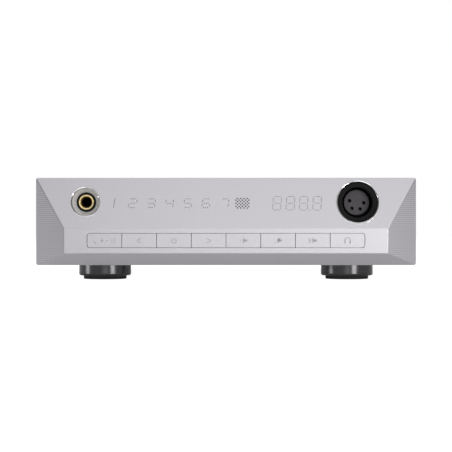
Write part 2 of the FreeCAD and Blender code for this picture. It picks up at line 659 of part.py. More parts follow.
def board_parts():
    mx0, mx1, my0, my1 = main_board_box()
    px0, px1, py0, py1 = power_board_box()
    mid = (mx0 + mx1) / 2
    chips = [standing(mid - 30, my0 + 40, 16, 16, 1.4), standing(mid, my0 + 40, 14, 14, 1.4),
             standing(mid + 28, my0 + 40, 12, 12, 1.2), standing(mid + 28, my0 + 62, 13, 9, 2.5)]
    chips += [standing(mid - 34 + 17 * k, my1 - 58, 5, 4, 1.6) for k in range(5)]
    caps = [rod(5, (mid - 42 + 14 * k, my0 + SINK_FROM_EDGE + SINK[1] + 11, BOARD_TOP), 16, UP)
            for k in range(6)]
    caps += [rod(9, (px0 + 16 + 26 * i, py0 + 28 + 22 * j, BOARD_TOP), 30, UP)
             for i in range(2) for j in range(2)]
    relays = [standing(mid - 30 + 20 * k, my1 - 38, 15, 7.5, 10) for k in range(4)]
    save("chips", chips)
    save("capacitors", caps)
    save("signal_relays", relays)


def heat_sink():
    """A comb of fins on a base plate, with the output transistors on its plain side."""
    mx0, mx1, my0, _ = main_board_box()
    x0, y0 = (mx0 + mx1) / 2 - SINK[0] / 2, my0 + SINK_FROM_EDGE
    plate = box(x0, x0 + SINK[0], y0, y0 + 3, BOARD_TOP, BOARD_TOP + SINK[2])
    step = (SINK[0] - FIN_THICK) / (SINK_FINS - 1)
    fins = [box(x0 + k * step, x0 + k * step + FIN_THICK, y0 + 3, y0 + SINK[1], BOARD_TOP,
                BOARD_TOP + SINK[2]) for k in range(SINK_FINS)]
    transistors = [box(x0 + 5 + 17 * k, x0 + 15 + 17 * k, y0 - 4.5, y0, BOARD_TOP + 4, BOARD_TOP + 19)
                   for k in range(4)]
    save("heat_sink", [joined([plate] + fins)])
    save("output_transistors", transistors)


def transformer():
    z1 = BASE_Z + COIL_HEIGHT
    coil = tube(COIL_R, COIL_HOLE_R, (COIL_X, COIL_Y, BASE_Z), COIL_HEIGHT, UP)
    edges = [e for e in coil.Edges if abs(e.Length - 2 * math.pi * COIL_R) < 0.1]
    coil = coil.makeFillet(6, edges)
    disc = rod(27, (COIL_X, COIL_Y, z1), 2, UP).cut(rod(2.6, (COIL_X, COIL_Y, z1 - 1), 4, UP))
    bolt = screw((COIL_X, COIL_Y, z1 + 2), DOWN, z1 + 1 - CASE_Z0, 2.5, 4.4, 3.2)
    save("transformer_coil", [coil])
    save("transformer_clamp", [disc, bolt])


# ---- rear sockets --------------------------------------------------------------------------------------
def socket_rows():
    return SOCKET_Z - SOCKET_ROW, SOCKET_Z + SOCKET_ROW


def rca_sockets():
    sockets = []
    for x in RCA_X:
        for z in socket_rows():
            body = block(x, REAR_IN - RCA_BODY, z, RCA_BODY, RCA_BODY, RCA_BODY)
            root = rod(RCA_ROOT_R, (x, REAR_IN, z), REAR_THICK, BACK)
            barrel = rod(RCA_R, (x, REAR_Y, z), SOCKET_REACH, BACK)
            hole = rod(1.65, (x, REAR_Y + SOCKET_REACH - 9, z), 10, BACK)
            sockets.append(joined([body, root, barrel]).cut(hole))
    return sockets


def xlr_out_sockets():
    sockets = []
    mouth = REAR_Y + OUT_FLANGE[2]
    floor = mouth - OUT_CAVITY_DEPTH
    for x in XLR_OUT_X:
        flange = rounded(block(x, REAR_Y, SOCKET_Z, OUT_FLANGE[0], OUT_FLANGE[2], OUT_FLANGE[1]), 2, BACK)
        barrel = rod(OUT_BARREL_R, (x, floor - 5, SOCKET_Z), REAR_Y - floor + 6, BACK)
        shell = joined([flange, barrel]).cut(rod(OUT_CAVITY_R, (x, floor, SOCKET_Z), 30, BACK))
        holes = [m3_hole(p, d, 6.0) for p, d in out_flange_sites() if abs(p[0] - x) < OUT_FLANGE[0] / 2]
        shell = cut(shell, holes)
        pins = [rod(OUT_PIN_R, (px, floor, pz), OUT_CAVITY_DEPTH - OUT_RECESS, BACK)
                for px, pz in xlr_pin_places(x, SOCKET_Z, OUT_PIN_CIRCLE, (210, 330, 90))]
        sockets += [shell] + pins
    return sockets


def optical_socket(x, z):
    """A housing with a lip round its mouth and room above for the open flap."""
    mouth = REAR_Y + 1.2
    floor = mouth - 12.0
    half = OPTICAL_MOUTH / 2
    width, height = OPTICAL_BODY
    body = block(x, floor - 6, z + 0.65, width, mouth - floor + 6, height)
    front = block(x, mouth - 1.3, z, OPTICAL_MOUTH, 2, OPTICAL_MOUTH)
    inside = box(x - half - 0.3, x + half + 0.3, floor, mouth - 1.2, z - half, z + half + 1.6)
    return joined([cut(body, [front, inside]), rod(1.5, (x, floor - 1, z), 1.8, BACK)])


def optical_flap(x, z):
    """Hangs from its top edge just behind the lip, and folds in and up when a plug goes in."""
    half = OPTICAL_MOUTH / 2
    y1 = REAR_Y - 0.15
    y0 = y1 - FLAP_THICK
    hinge_z = z + half + 0.8
    plate = box(x - half, x + half, y0, y1, z - half + 0.2, hinge_z)
    knuckle = rod(FLAP_THICK / 2, (x - half, (y0 + y1) / 2, hinge_z), OPTICAL_MOUTH, RIGHT)
    return joined([plate, knuckle])


def usb_socket():
    width, height = USB_BODY
    mouth, floor = REAR_Y + 0.8, REAR_IN - 13
    shell = block(USB_X, floor, SOCKET_Z, width, mouth - floor, height)
    hollow = block(USB_X, floor + 3, SOCKET_Z, width - 1.2, mouth - floor, height - 1.2)
    tongue = block(USB_X, floor + 3, SOCKET_Z, 5.6, mouth - floor - 4.5, 3.2)
    return [shell.cut(hollow), tongue]


def mains_parts():
    """Inlet with its blades, the fuse drawer under it and the fuse in the drawer."""
    mouth = REAR_Y + INLET_FLANGE[2]
    flange = rounded(block(INLET_X, REAR_Y, SOCKET_Z, INLET_FLANGE[0], INLET_FLANGE[2], INLET_FLANGE[1]),
                     3, BACK)
    body = block(INLET_X, mouth - INLET_BODY[2] - 2, SOCKET_Z, INLET_BODY[0], INLET_BODY[2] + 2,
                 INLET_BODY[1])
    cavity = block(INLET_X, mouth - INLET_CAVITY[2], INLET_Z, INLET_CAVITY[0], INLET_CAVITY[2] + 1,
                   INLET_CAVITY[1])
    bay = block(INLET_X, mouth - DRAWER_LENGTH - 1, DRAWER_Z, DRAWER[0] + 0.5, DRAWER_LENGTH + 2,
                DRAWER[1] + 0.5)
    blades, slots = [], []
    back = mouth - INLET_BODY[2] - 4
    for dx, dz in ((-7, -2), (7, -2), (0, 2.5)):
        blade = block(INLET_X + dx, back, INLET_Z + dz, 2, mouth - 5 - back, 4)
        blades.append(blade)
        slots.append(block(INLET_X + dx, back - 1, INLET_Z + dz, 2 + 2 * PRINT_CLEAR, mouth - 5 - back,
                           4 + 2 * PRINT_CLEAR))
    holes = [m3_hole(p, d, 6.0) for p, d in inlet_sites()]
    save("mains_inlet", [cut(joined([flange, body]), [cavity, bay] + slots + holes)])
    save("inlet_blades", blades)
    y0 = mouth - DRAWER_LENGTH + 0.3
    plate_y = mouth + 0.1
    drawer = joined([block(INLET_X, y0, DRAWER_Z, DRAWER[0], plate_y - y0, DRAWER[1]),
                     block(INLET_X, plate_y, DRAWER_Z, DRAWER[0] + 1.6, DRAWER_PLATE, DRAWER[1] + 1.4)])
    fuse_y = y0 + 8
    trough = box(INLET_X - FUSE_LENGTH / 2 - 0.1, INLET_X + FUSE_LENGTH / 2 + 0.1, fuse_y - FUSE_R - 0.1,
                 fuse_y + FUSE_R + 0.1, DRAWER_Z - DRAWER[1] / 2 + 0.9, DRAWER_Z + DRAWER[1] / 2 + 1)
    save("fuse_drawer", [drawer.cut(trough)])
    save("fuse", [rod(FUSE_R, (INLET_X - FUSE_LENGTH / 2, fuse_y, DRAWER_Z + 0.1), FUSE_LENGTH, RIGHT)])


def switch_parts():
    """The mains switch: a housing, and a rocker that is drawn level and then tilted to off."""
    half_x, half_z = ROCKER_HALF
    outer = REAR_Y + ROCKER_BEZEL[2]
    bezel = rounded(block(ROCKER_X, REAR_Y, SOCKET_Z, ROCKER_BEZEL[0], ROCKER_BEZEL[2], ROCKER_BEZEL[1]),
                    1, BACK)
    body = block(ROCKER_X, REAR_IN - 17, SOCKET_Z, ROCKER_BEZEL[0] - 2.3, REAR_Y - REAR_IN + 17.5,
                 ROCKER_BEZEL[1] - 2.3)
    well = block(ROCKER_X, PIVOT_Y - 3.4, SOCKET_Z, 2 * ROCKER_WELL[0], outer - PIVOT_Y + 4.4,
                 2 * ROCKER_WELL[1])
    axle = rod(0.88, (ROCKER_X - half_x - 1.05, PIVOT_Y, SOCKET_Z), 2 * half_x + 2.1, RIGHT)
    save("mains_switch_housing", [cut(joined([bezel, body]), [well, axle])])
    profile = [(-half_z, -1.0), (-half_z, 3.6), (0, 2.2), (half_z, 3.6), (half_z, -1.0)]
    corners = [(ROCKER_X - half_x, PIVOT_Y + w, SOCKET_Z + u) for u, w in profile]
    rocker = prism(corners, RIGHT * 2 * half_x)
    trunnion = rod(0.8, (ROCKER_X - half_x - 0.95, PIVOT_Y, SOCKET_Z), 2 * half_x + 1.9, RIGHT)
    rocker = joined([rocker, trunnion])
    rocker.rotate(Vector(ROCKER_X, PIVOT_Y, SOCKET_Z), RIGHT, -ROCKER_TILT)
    save("mains_rocker", [rocker])


# ---- wiring ------------------------------------------------------------------------------------------
def wire(points, radius, bend):
    """Straight runs joined by tangent arcs, swept with a round section."""
    corners = [Vector(*p) for p in points]
    edges, start = [], corners[0]
    for before, here, after in zip(corners, corners[1:], corners[2:]):
        into, out = (here - before).normalize(), (after - here).normalize()
        a, b = here - into * bend, here + out * bend
        centre = here - into * bend + out * bend
        middle = centre + (here - centre).normalize() * bend
        edges += [Part.LineSegment(start, a).toShape(), Part.Arc(a, middle, b).toShape()]
        start = b
    edges.append(Part.LineSegment(start, corners[-1]).toShape())
    section = Part.Wire(Part.makeCircle(radius, corners[0], (corners[1] - corners[0]).normalize()))
    return Part.Wire(edges).makePipeShell([section], True, False)


def mains_wires():
    back = REAR_Y + INLET_FLANGE[2] - INLET_BODY[2] - 4
    turn = back - 5.0
    z = INLET_Z - 2
    front = COIL_Y - COIL_R - 6
    left, right = COIL_X - COIL_R - 4, COIL_X + COIL_R + 4
    switch_back = REAR_IN - 17
    live = [(INLET_X - 7, back, z), (INLET_X - 7, turn, z), (ROCKER_X + 2, turn, z),
            (ROCKER_X + 2, switch_back, z)]
    neutral = [(INLET_X + 7, back, z), (INLET_X + 7, turn, z), (right, turn, z), (right, front, z),
               (right - 12, front, z), (right - 12, front, BOARD_TOP)]
    switched = [(ROCKER_X - 3, switch_back, z - 5), (ROCKER_X - 3, turn, z - 5), (left, turn, z - 5),
                (left, front, z - 5), (left, front, BOARD_TOP)]
    return [wire(points, 1.2, 2.4) for points in (live, neutral, switched)]


def flat_cables():
    """Ribbons from the key board and the display board down to the main board."""
    y1 = PANEL_BACK + BOARD_MARGIN + 6
    key_z = KEY_Z + 2.0
    display_z = FOOT_LIFT + DISPLAY_Z - 2
    ribbons = []
    right = main_board_box()[1] - 12
    for x, y0, z in ((right - 35, SWITCH_BOARD_Y + BOARD_THICK, key_z),
                     (right, PANEL_BACK - 1.2, display_z)):
        end = y1 if x < right else y1 + 5
        along = box(x - 9, x + 9, y0, end, z, z + 0.8)
        down = box(x - 9, x + 9, end - 0.8, end, BOARD_TOP, z)
        ribbons.append(joined([along, down]))
    return ribbons


# ---- build -------------------------------------------------------------------------------------------
def main():
    os.makedirs("parts", exist_ok=True)
    blank = panel_blank()
    save("front_panel", [front_panel(blank)])
    save("jack_trim_ring", [jack_trim_ring(blank)])
    save("xlr_trim_ring", [xlr_trim_ring(blank)])
    for index, name in enumerate(KEY_NAMES):
        save(name, [key(index)])
    save("key_frame", [key_frame()])
    save("button_board", [button_board()])
    save("tact_switches", tact_switches())
    display_parts()
    jack_parts()
    xlr_parts()
    save("left_side_rail", [side_rail(-1)])
    save("right_side_rail", [side_rail(1)])
    save("top_cover", [top_cover()])
    save("bottom_plate", [bottom_plate()])
    save("rear_panel", [rear_panel()])
    save("case_screws", [m3(p, d) for p, d in cover_sites() + base_sites() + rear_sites() + front_sites()])
    save("socket_screws", [m3(p, d, 5.5) for p, d in out_flange_sites() + inlet_sites()]
         + [m3(p, d, M3_SHORT) for p, d in xlr_flange_sites()])
    foot_parts()
    boards()
    board_parts()
    heat_sink()
    transformer()
    save("rca_sockets", rca_sockets())
    save("xlr_out_sockets", xlr_out_sockets())
    low, high = socket_rows()
    save("optical_sockets", [optical_socket(OPTICAL_X, z) for z in (low, high)])
    save("lower_optical_flap", [optical_flap(OPTICAL_X, low)])
    save("upper_optical_flap", [optical_flap(OPTICAL_X, high)])
    save("usb_socket", usb_socket())
    mains_parts()
    switch_parts()
    save("mains_wires", mains_wires())
    save("flat_cables", flat_cables())


main()
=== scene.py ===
"""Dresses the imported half-width headphone amplifier: front panel with its keys, dotted display and sockets,
case, feet, rear sockets and inside, on a plain pale stage. Lengths are in metres unless a name says mm."""

import math

import bmesh
import bpy
from bpy.props import FloatProperty, FloatVectorProperty, IntProperty, PointerProperty
from mathutils import Matrix, Vector


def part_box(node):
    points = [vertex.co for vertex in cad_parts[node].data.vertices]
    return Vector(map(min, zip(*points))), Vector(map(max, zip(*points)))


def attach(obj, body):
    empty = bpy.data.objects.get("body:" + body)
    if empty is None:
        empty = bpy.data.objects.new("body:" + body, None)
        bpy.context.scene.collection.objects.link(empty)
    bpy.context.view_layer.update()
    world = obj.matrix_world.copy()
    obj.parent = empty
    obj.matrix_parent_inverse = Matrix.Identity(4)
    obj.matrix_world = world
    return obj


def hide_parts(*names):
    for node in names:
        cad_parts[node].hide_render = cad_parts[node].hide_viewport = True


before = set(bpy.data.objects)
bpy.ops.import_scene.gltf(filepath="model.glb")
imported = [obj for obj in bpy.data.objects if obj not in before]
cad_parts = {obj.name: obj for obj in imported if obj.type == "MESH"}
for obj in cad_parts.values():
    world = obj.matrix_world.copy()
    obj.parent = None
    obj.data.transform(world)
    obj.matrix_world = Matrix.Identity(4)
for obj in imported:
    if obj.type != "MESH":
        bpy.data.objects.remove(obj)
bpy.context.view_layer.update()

bl_info = {
    "name": "Headphone Amplifier Dressing",
    "version": (1, 0, 0),
    "blender": (4, 5, 0),
    "location": "View3D > Sidebar > Amplifier",
    "description": "Builds the amplifier's finished pieces on its packed frame",
    "category": "Add Mesh",
}

MM = 0.001
PANEL_LO, PANEL_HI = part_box("front_panel")
KEYS = ["gain_key", "input_back_key", "power_key", "input_next_key",
        "volume_down_key", "mute_key", "volume_up_key", "output_key"]
STRIP_TOP = 32.5 * MM  # where the key strip ends and the leaning face starts
STRIP_FOOT = 17.2 * MM
STRIP_X = 99.35 * MM
OUTLINE_Y = PANEL_LO.y + 8.0 * MM
LEAN = math.atan2(OUTLINE_Y - PANEL_LO.y, PANEL_HI.z - STRIP_TOP)
DISPLAY_Z = 48.0 * MM
MERGE = 2e-6  # vertices closer than this are one
FLAT_AREA = 20e-6  # flat regions larger than this, in square metres, stay flat
BOW_STEPS = 28
# Display, in millimetres
INPUT_X, INPUT_PITCH, INPUT_COUNT = -68.8, 11.32, 7
DIGITS_X = (31.4, 39.7, 47.8, 56.1)
POINT_AT = (51.6, -4.4)
RECEIVER_X, RECEIVER_STEP = 10.1, 1.0
# Round sockets
JACK_LIP, JACK_MOUTH, JACK_COLLAR_R, JACK_BORE_R = 1.1 * MM, 0.95 * MM, 6.1 * MM, 3.25 * MM
SOCKET_LIP, SOCKET_MOUTH, SOCKET_GAP_R = 1.45 * MM, 1.35 * MM, 9.6 * MM
PHONO_BORE_R, PHONO_R, PHONO_ROOT_R, PHONO_COLLAR_R = 3.35 * MM, 4.15 * MM, 4.8 * MM, 5.4 * MM
REAR_THICK = 3 * MM


# ---- sizes and colours ---------------------------------------------------------------------------------
def length(name, description, default, low, high):
    """A length setting, its numbers in millimetres."""
    return FloatProperty(name=name, description=description, default=default * MM, min=low * MM,
                         max=high * MM, unit="LENGTH", subtype="DISTANCE")


def distance(name, description, default, low, high):
    """A length setting, its numbers in metres."""
    return FloatProperty(name=name, description=description, default=default, min=low, max=high,
                         unit="LENGTH", subtype="DISTANCE")


def strength(name, description, default, high, low=0):
    return FloatProperty(name=name, description=description, default=default, min=low, max=high)


def tone(name, description, default):
    return FloatVectorProperty(name=name, description=description, size=3, subtype="COLOR",
                               default=default, min=0, max=1)


class AMP_PG_front(bpy.types.PropertyGroup):
    """Sizes on the front panel"""

    edge: length("Panel edge", "Width of the softened panel edges", 0.22, 0.02, 1)
    key_edge: length("Key edge", "Width of the softened key edges", 0.04, 0.02, 0.24)
    dot_radius: length("Dot radius", "Radius of the drilled display dots", 0.28, 0.1, 0.6)
    mesh_radius: length("Receiver dot radius", "Radius of the dots in front of the receiver", 0.46, 0.1, 0.6)
    rib_pitch: length("Rib pitch", "Distance between the fine ribs on the side facets", 1.25, 0.5, 3)
    rib_height: length("Rib height", "How far the fine ribs stand out of the facets", 0.11, 0.01, 0.3)
    groove: length("Groove", "Width of the fine groove above the key strip", 0.22, 0.05, 0.5)
    mark_line: length("Mark line", "Line width of the printed key marks", 0.42, 0.1, 1)


class AMP_PG_case(bpy.types.PropertyGroup):
    """Sizes on the case, feet and sockets"""

    edge: length("Case edge", "Width of the softened case edges", 0.35, 0.02, 1)
    moulded_edge: length("Moulded edge", "Width of the softened edges of moulded pieces", 0.25, 0.02, 1)
    turned_steps: IntProperty(name="Turned steps", description="Steps round a turned piece", default=96,
                              min=24, max=256)
    foot_edge: length("Foot edge", "Radius of the foot cup's lower edge", 1.3, 0.2, 2)
    barrel_rings: IntProperty(name="Barrel rings", description="Fine rings turned inside the four-pin socket",
                              default=7, min=0, max=20)


class AMP_PG_finish(bpy.types.PropertyGroup):
    """Colours of the finishes"""

    case: tone("Blasted aluminium", "Colour of the case and keys", (0.60, 0.585, 0.615))
    rear: tone("Satin aluminium", "Colour of the rear panel", (0.52, 0.515, 0.53))
    polished: tone("Polished ring", "Colour of the socket rings", (0.72, 0.72, 0.735))
    foot: tone("Foot metal", "Colour of the polished foot cups", (0.085, 0.083, 0.086))
    mark: tone("Key mark", "Colour of the printed key marks", (0.42, 0.415, 0.42))
    insert: tone("Insert", "Colour of the four-pin insert", (0.075, 0.068, 0.078))
    board: tone("Circuit board", "Colour of the boards", (0.02, 0.09, 0.05))


class AMP_PG_stage(bpy.types.PropertyGroup):
    """Camera and lights"""

    distance: distance("Camera distance", "Camera in front of the panel's outline", 0.88, 0.3, 5)
    height: distance("Camera height", "Camera above the table", 0.034, 0, 1)
    lens: strength("Lens", "Focal length in millimetres", 113.3, 300, 20)
    room: strength("Room light", "Strength of the even light all round", 0.29, 3)
    floor_glow: strength("Floor glow", "How much the paper floor lights up to the camera", 0.7, 2)
    floor_fill: strength("Floor fill", "How much the paper floor lights up the object", 0.22, 2)
    front_light: strength("Front light", "Power of the large soft light in watts", 3.6, 500)
    right_light: strength("Right light", "Power of the small soft light in watts", 1.1, 500)
    strip_light: strength("Strip light", "Power of the two low lights in watts", 0.8, 500)
    top_light: strength("Top light", "Power of the light overhead in watts", 4.0, 500)


# ---- finishes ------------------------------------------------------------------------------------------
def shade_group(name, inputs, outputs):
    """A node group with named inputs and outputs, and its two end nodes."""
    group = bpy.data.node_groups.new(name, "ShaderNodeTree")
    for label, value in inputs:
        kind = "NodeSocketVector" if isinstance(value, tuple) else "NodeSocketFloat"
        group.interface.new_socket(label, in_out="INPUT", socket_type=kind).default_value = value
    for label in outputs:
        group.interface.new_socket(label, in_out="OUTPUT", socket_type="NodeSocketFloat")
    return group, group.nodes.new("NodeGroupInput"), group.nodes.new("NodeGroupOutput")


def math_node(tree, operation, first, second):
    node = tree.nodes.new("ShaderNodeMath")
    node.operation = operation
    for socket, value in zip(node.inputs, (first, second)):
        if isinstance(value, (int, float)):
            socket.default_value = value
        else:
            tree.links.new(value, socket)
    return node.outputs[0]


def grain_group():
    """Fine bead-blasted or moulded grain, and broad faint unevenness, both from 0 to 1."""
    if "surface_grain" in bpy.data.node_groups:
        return bpy.data.node_groups["surface_grain"]
    inputs = [("Grains per metre", 2600.0), ("Clouds per metre", 22.0)]
    group, start, end = shade_group("surface_grain", inputs, ["Grain", "Clouds"])
    place = group.nodes.new("ShaderNodeTexCoord")
    for label, detail, rough in (("Grain", 3.0, 0.6), ("Clouds", 4.0, 0.55)):
        noise = group.nodes.new("ShaderNodeTexNoise")
        noise.inputs["Detail"].default_value = detail
        noise.inputs["Roughness"].default_value = rough
        source = start.outputs["Grains per metre" if label == "Grain" else "Clouds per metre"]
        group.links.new(place.outputs["Object"], noise.inputs["Vector"])
        group.links.new(source, noise.inputs["Scale"])
        group.links.new(noise.outputs["Fac"], end.inputs[label])
    return group


def brush_group():
    """Long fine lines: noise stretched by a scale for each axis."""
    if "brushed_lines" in bpy.data.node_groups:
        return bpy.data.node_groups["brushed_lines"]
    group, start, end = shade_group("brushed_lines", [("Lines per metre", (20.0, 4000.0, 4000.0))], ["Lines"])
    place = group.nodes.new("ShaderNodeTexCoord")
    stretch = group.nodes.new("ShaderNodeVectorMath")
    stretch.operation = "MULTIPLY"
    noise = group.nodes.new("ShaderNodeTexNoise")
    noise.inputs["Scale"].default_value = 1.0
    noise.inputs["Detail"].default_value = 2.0
    group.links.new(place.outputs["Object"], stretch.inputs[0])
    group.links.new(start.outputs[0], stretch.inputs[1])
    group.links.new(stretch.outputs[0], noise.inputs["Vector"])
    group.links.new(noise.outputs["Fac"], end.inputs["Lines"])
    return group


def use_group(tree, group, **values):
    node = tree.nodes.new("ShaderNodeGroup")
    node.node_tree = group
    for label, value in values.items():
        node.inputs[label.replace("_", " ")].default_value = value
    return node


def spread(tree, value, low, high):
    """Maps a mask from 0..1 to low..high."""
    node = tree.nodes.new("ShaderNodeMapRange")
    node.inputs["To Min"].default_value = low
    node.inputs["To Max"].default_value = high
    tree.links.new(value, node.inputs["Value"])
    return node.outputs["Result"]


def tint(tree, mask, colour, other):
    node = tree.nodes.new("ShaderNodeMix")
    node.data_type = "RGBA"
    node.inputs[6].default_value = (*colour, 1.0)
    node.inputs[7].default_value = (*other, 1.0)
    tree.links.new(mask, node.inputs[0])
    return node.outputs[2]


def shift(colour, by):
    return tuple(min(1.0, max(0.0, c * (1.0 + by))) for c in colour)


def surface(name, colour, rough, metal=0.0, grains=2600.0, clouds=22.0, vary=0.06, rough_vary=0.05,
            bump=0.2, depth=0.02, lines=None, line_share=0.6, pattern=None, shade=0.0, **more):
    """A finish with grain in its colour, roughness and normal, and with brushed lines if lines is given.
    Depth is in millimetres. More holds further sockets of the shader."""
    # Shade makes the colour darker by a share; the facet finish uses it to paint shade.
    colour = shift(colour, shade)
    material = bpy.data.materials.new(name)
    material.use_nodes = True
    tree = material.node_tree
    shader = tree.nodes["Principled BSDF"]
    grain = use_group(tree, grain_group(), Grains_per_metre=grains, Clouds_per_metre=clouds)
    height = grain.outputs["Grain"]
    if lines:
        brushed = use_group(tree, brush_group(), Lines_per_metre=lines)
        height = math_node(tree, "ADD", math_node(tree, "MULTIPLY", brushed.outputs["Lines"], line_share),
                           math_node(tree, "MULTIPLY", grain.outputs["Grain"], 1.0 - line_share))
    mask = math_node(tree, "ADD", math_node(tree, "MULTIPLY", height, 0.5),
                     math_node(tree, "MULTIPLY", grain.outputs["Clouds"], 0.5))
    base = tint(tree, mask, shift(colour, -vary), shift(colour, vary))
    if pattern:
        base = pattern(tree, base)
    tree.links.new(base, shader.inputs["Base Color"])
    tree.links.new(spread(tree, mask, rough - rough_vary, rough + rough_vary), shader.inputs["Roughness"])
    relief = tree.nodes.new("ShaderNodeBump")
    relief.inputs["Strength"].default_value = bump
    relief.inputs["Distance"].default_value = depth * MM
    tree.links.new(height, relief.inputs["Height"])
    tree.links.new(relief.outputs["Normal"], shader.inputs["Normal"])
    shader.inputs["Metallic"].default_value = metal
    for label, value in more.items():
        shader.inputs[label.replace("_", " ")].default_value = value
    return material


def board_tracks(tree, base):
    """Tracks that show through the solder mask: a net of lighter green."""
    place = tree.nodes.new("ShaderNodeTexCoord")
    tracks = tree.nodes.new("ShaderNodeTexBrick")
    tracks.inputs["Scale"].default_value = 160.0
    tracks.inputs["Mortar Size"].default_value = 0.03
    tracks.inputs["Mortar"].default_value = (0.05, 0.2, 0.1, 1.0)
    tree.links.new(place.outputs["Object"], tracks.inputs["Vector"])
    tree.links.new(base, tracks.inputs["Color1"])
    tree.links.new(base, tracks.inputs["Color2"])
    return tracks.outputs["Color"]


# Each finish: its colour or the setting that holds it, roughness, metallic, and what else surface() takes.
FINISHES = {
    "blasted_aluminium": ("case", 0.42, 1.0, dict(grains=2400.0, vary=0.035, bump=0.35, depth=0.03)),
    # The side facets' finish: case aluminium made a fifth darker, which is painted shade; its fine lines are
    # grain.
    "milled_facet": ("case", 0.38, 1.0, dict(
        shade=-0.2, grains=2400.0, vary=0.03, lines=(60.0, 60.0, 1800.0), line_share=0.5, bump=0.3)),
    "satin_rear_aluminium": ("rear", 0.38, 1.0, dict(lines=(25.0, 3000.0, 3000.0), vary=0.05, bump=0.25)),
    "polished_ring_metal": ("polished", 0.04, 1.0, dict(
        grains=900.0, clouds=60.0, vary=0.02, rough_vary=0.015, bump=0.02, depth=0.005)),
    # Near-white and almost not metallic: painted light that lifts the funnel out of the shade of the ring's
    # wall; its grain and turned lines are real.
    "turned_funnel_metal": ((0.95, 0.95, 0.97), 0.5, 0.05, dict(
        grains=3000.0, vary=0.05, bump=0.25, lines=(400.0, 9000.0, 400.0))),
    "gunmetal_foot": ("foot", 0.2, 1.0, dict(clouds=50.0, rough_vary=0.02, bump=0.02, depth=0.005)),
    "moulded_black": ((0.018, 0.018, 0.02), 0.48, 0.0, dict(
        grains=2200.0, vary=0.2, rough_vary=0.08, bump=0.3, depth=0.04)),
    "lacquered_black": ((0.022, 0.021, 0.023), 0.33, 0.0, dict(
        grains=1500.0, vary=0.2, rough_vary=0.06, bump=0.25, depth=0.03, Coat_Weight=0.25,
        Coat_Roughness=0.12)),
    "anodised_black": ((0.004, 0.004, 0.0045), 0.5, 0.0, dict(
        grains=1500.0, vary=0.2, rough_vary=0.06, bump=0.25, depth=0.03, Specular_IOR_Level=0.15)),
    "dark_bronze": ((0.075, 0.062, 0.05), 0.35, 1.0, dict(
        grains=1500.0, clouds=120.0, vary=0.1, bump=0.05)),
    "insert_grey": ("insert", 0.5, 0.0, dict(
        grains=2500.0, vary=0.12, rough_vary=0.06, bump=0.35, depth=0.04)),
    "tinned_metal": ((0.66, 0.65, 0.62), 0.3, 1.0, dict(clouds=90.0, rough_vary=0.08, bump=0.1)),
    "zinc_plate": ((0.58, 0.58, 0.57), 0.36, 1.0, dict(clouds=70.0, vary=0.12, rough_vary=0.1, bump=0.1)),
    "printed_mark": ("mark", 0.5, 0.0, dict(grains=4000.0, vary=0.08, bump=0.1)),
    # Near-black sheet behind the display dots: painted shade that makes the dots dark; the diffuser itself is
    # white.
    "frosted_diffuser": ((0.05, 0.05, 0.052), 0.55, 0.0, dict(grains=3000.0, vary=0.05, bump=0.3)),
    "signal_red": ((0.42, 0.02, 0.02), 0.4, 0.0, dict(vary=0.08, bump=0.15)),
    "signal_white": ((0.7, 0.69, 0.66), 0.4, 0.0, dict(vary=0.04, bump=0.15)),
    "solder_mask": ("board", 0.32, 0.0, dict(vary=0.15, bump=0.1, pattern=board_tracks)),
    "wound_tape": ((0.72, 0.5, 0.1), 0.4, 0.0, dict(
        lines=(30.0, 30.0, 900.0), vary=0.12, bump=0.5, depth=0.2)),
    "ribbon_grey": ((0.45, 0.45, 0.46), 0.5, 0.0, dict(
        lines=(800.0, 10.0, 10.0), line_share=0.9, vary=0.15, bump=0.5, depth=0.2)),
}


def finish(name):
    """A finish from the table, made when first asked for, or a material that came with the frame."""
    if name in bpy.data.materials:
        return bpy.data.materials[name]
    colour, rough, metal, more = FINISHES[name]
    if isinstance(colour, str):
        colour = tuple(getattr(bpy.context.scene.amp_finish, colour))
    return surface(name, colour, rough, metal, **more)


# ---- mesh helpers --------------------------------------------------------------------------------------
def copy_of(node):
    """A node's mesh as a clean bmesh with its loose triangles joined."""
    bm = bmesh.new()
    bm.from_mesh(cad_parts[node].data)
    bmesh.ops.remove_doubles(bm, verts=bm.verts, dist=MERGE)
    return bm


def edge_angle(edge):
    return edge.calc_face_angle(0.0) if len(edge.link_faces) == 2 else 0.0


def soften(bm, width, angle=30.0, test=None, segments=2):
    """Bevels the edges that are sharper than an angle, or those of them that pass a test."""
    limit = math.radians(angle)
    edges = [e for e in bm.edges if edge_angle(e) > limit and (test is None or test(e))]
    if edges:
        bmesh.ops.bevel(bm, geom=edges, offset=width, affect="EDGES", segments=segments, profile=0.5,
                        material=-1, clamp_overlap=True)


def flat_faces(bm, area):
    """The faces that belong to flat regions larger than an area."""
    left, found = set(bm.faces), set()
    while left:
        seed = left.pop()
        region, queue = [seed], [seed]
        while queue:
            for edge in queue.pop().edges:
                if edge_angle(edge) < math.radians(0.3):
                    for face in edge.link_faces:
                        if face in left:
                            left.remove(face)
                            region.append(face)
                            queue.append(face)
        if sum(f.calc_area() for f in region) > area:
            found.update(region)
    return found


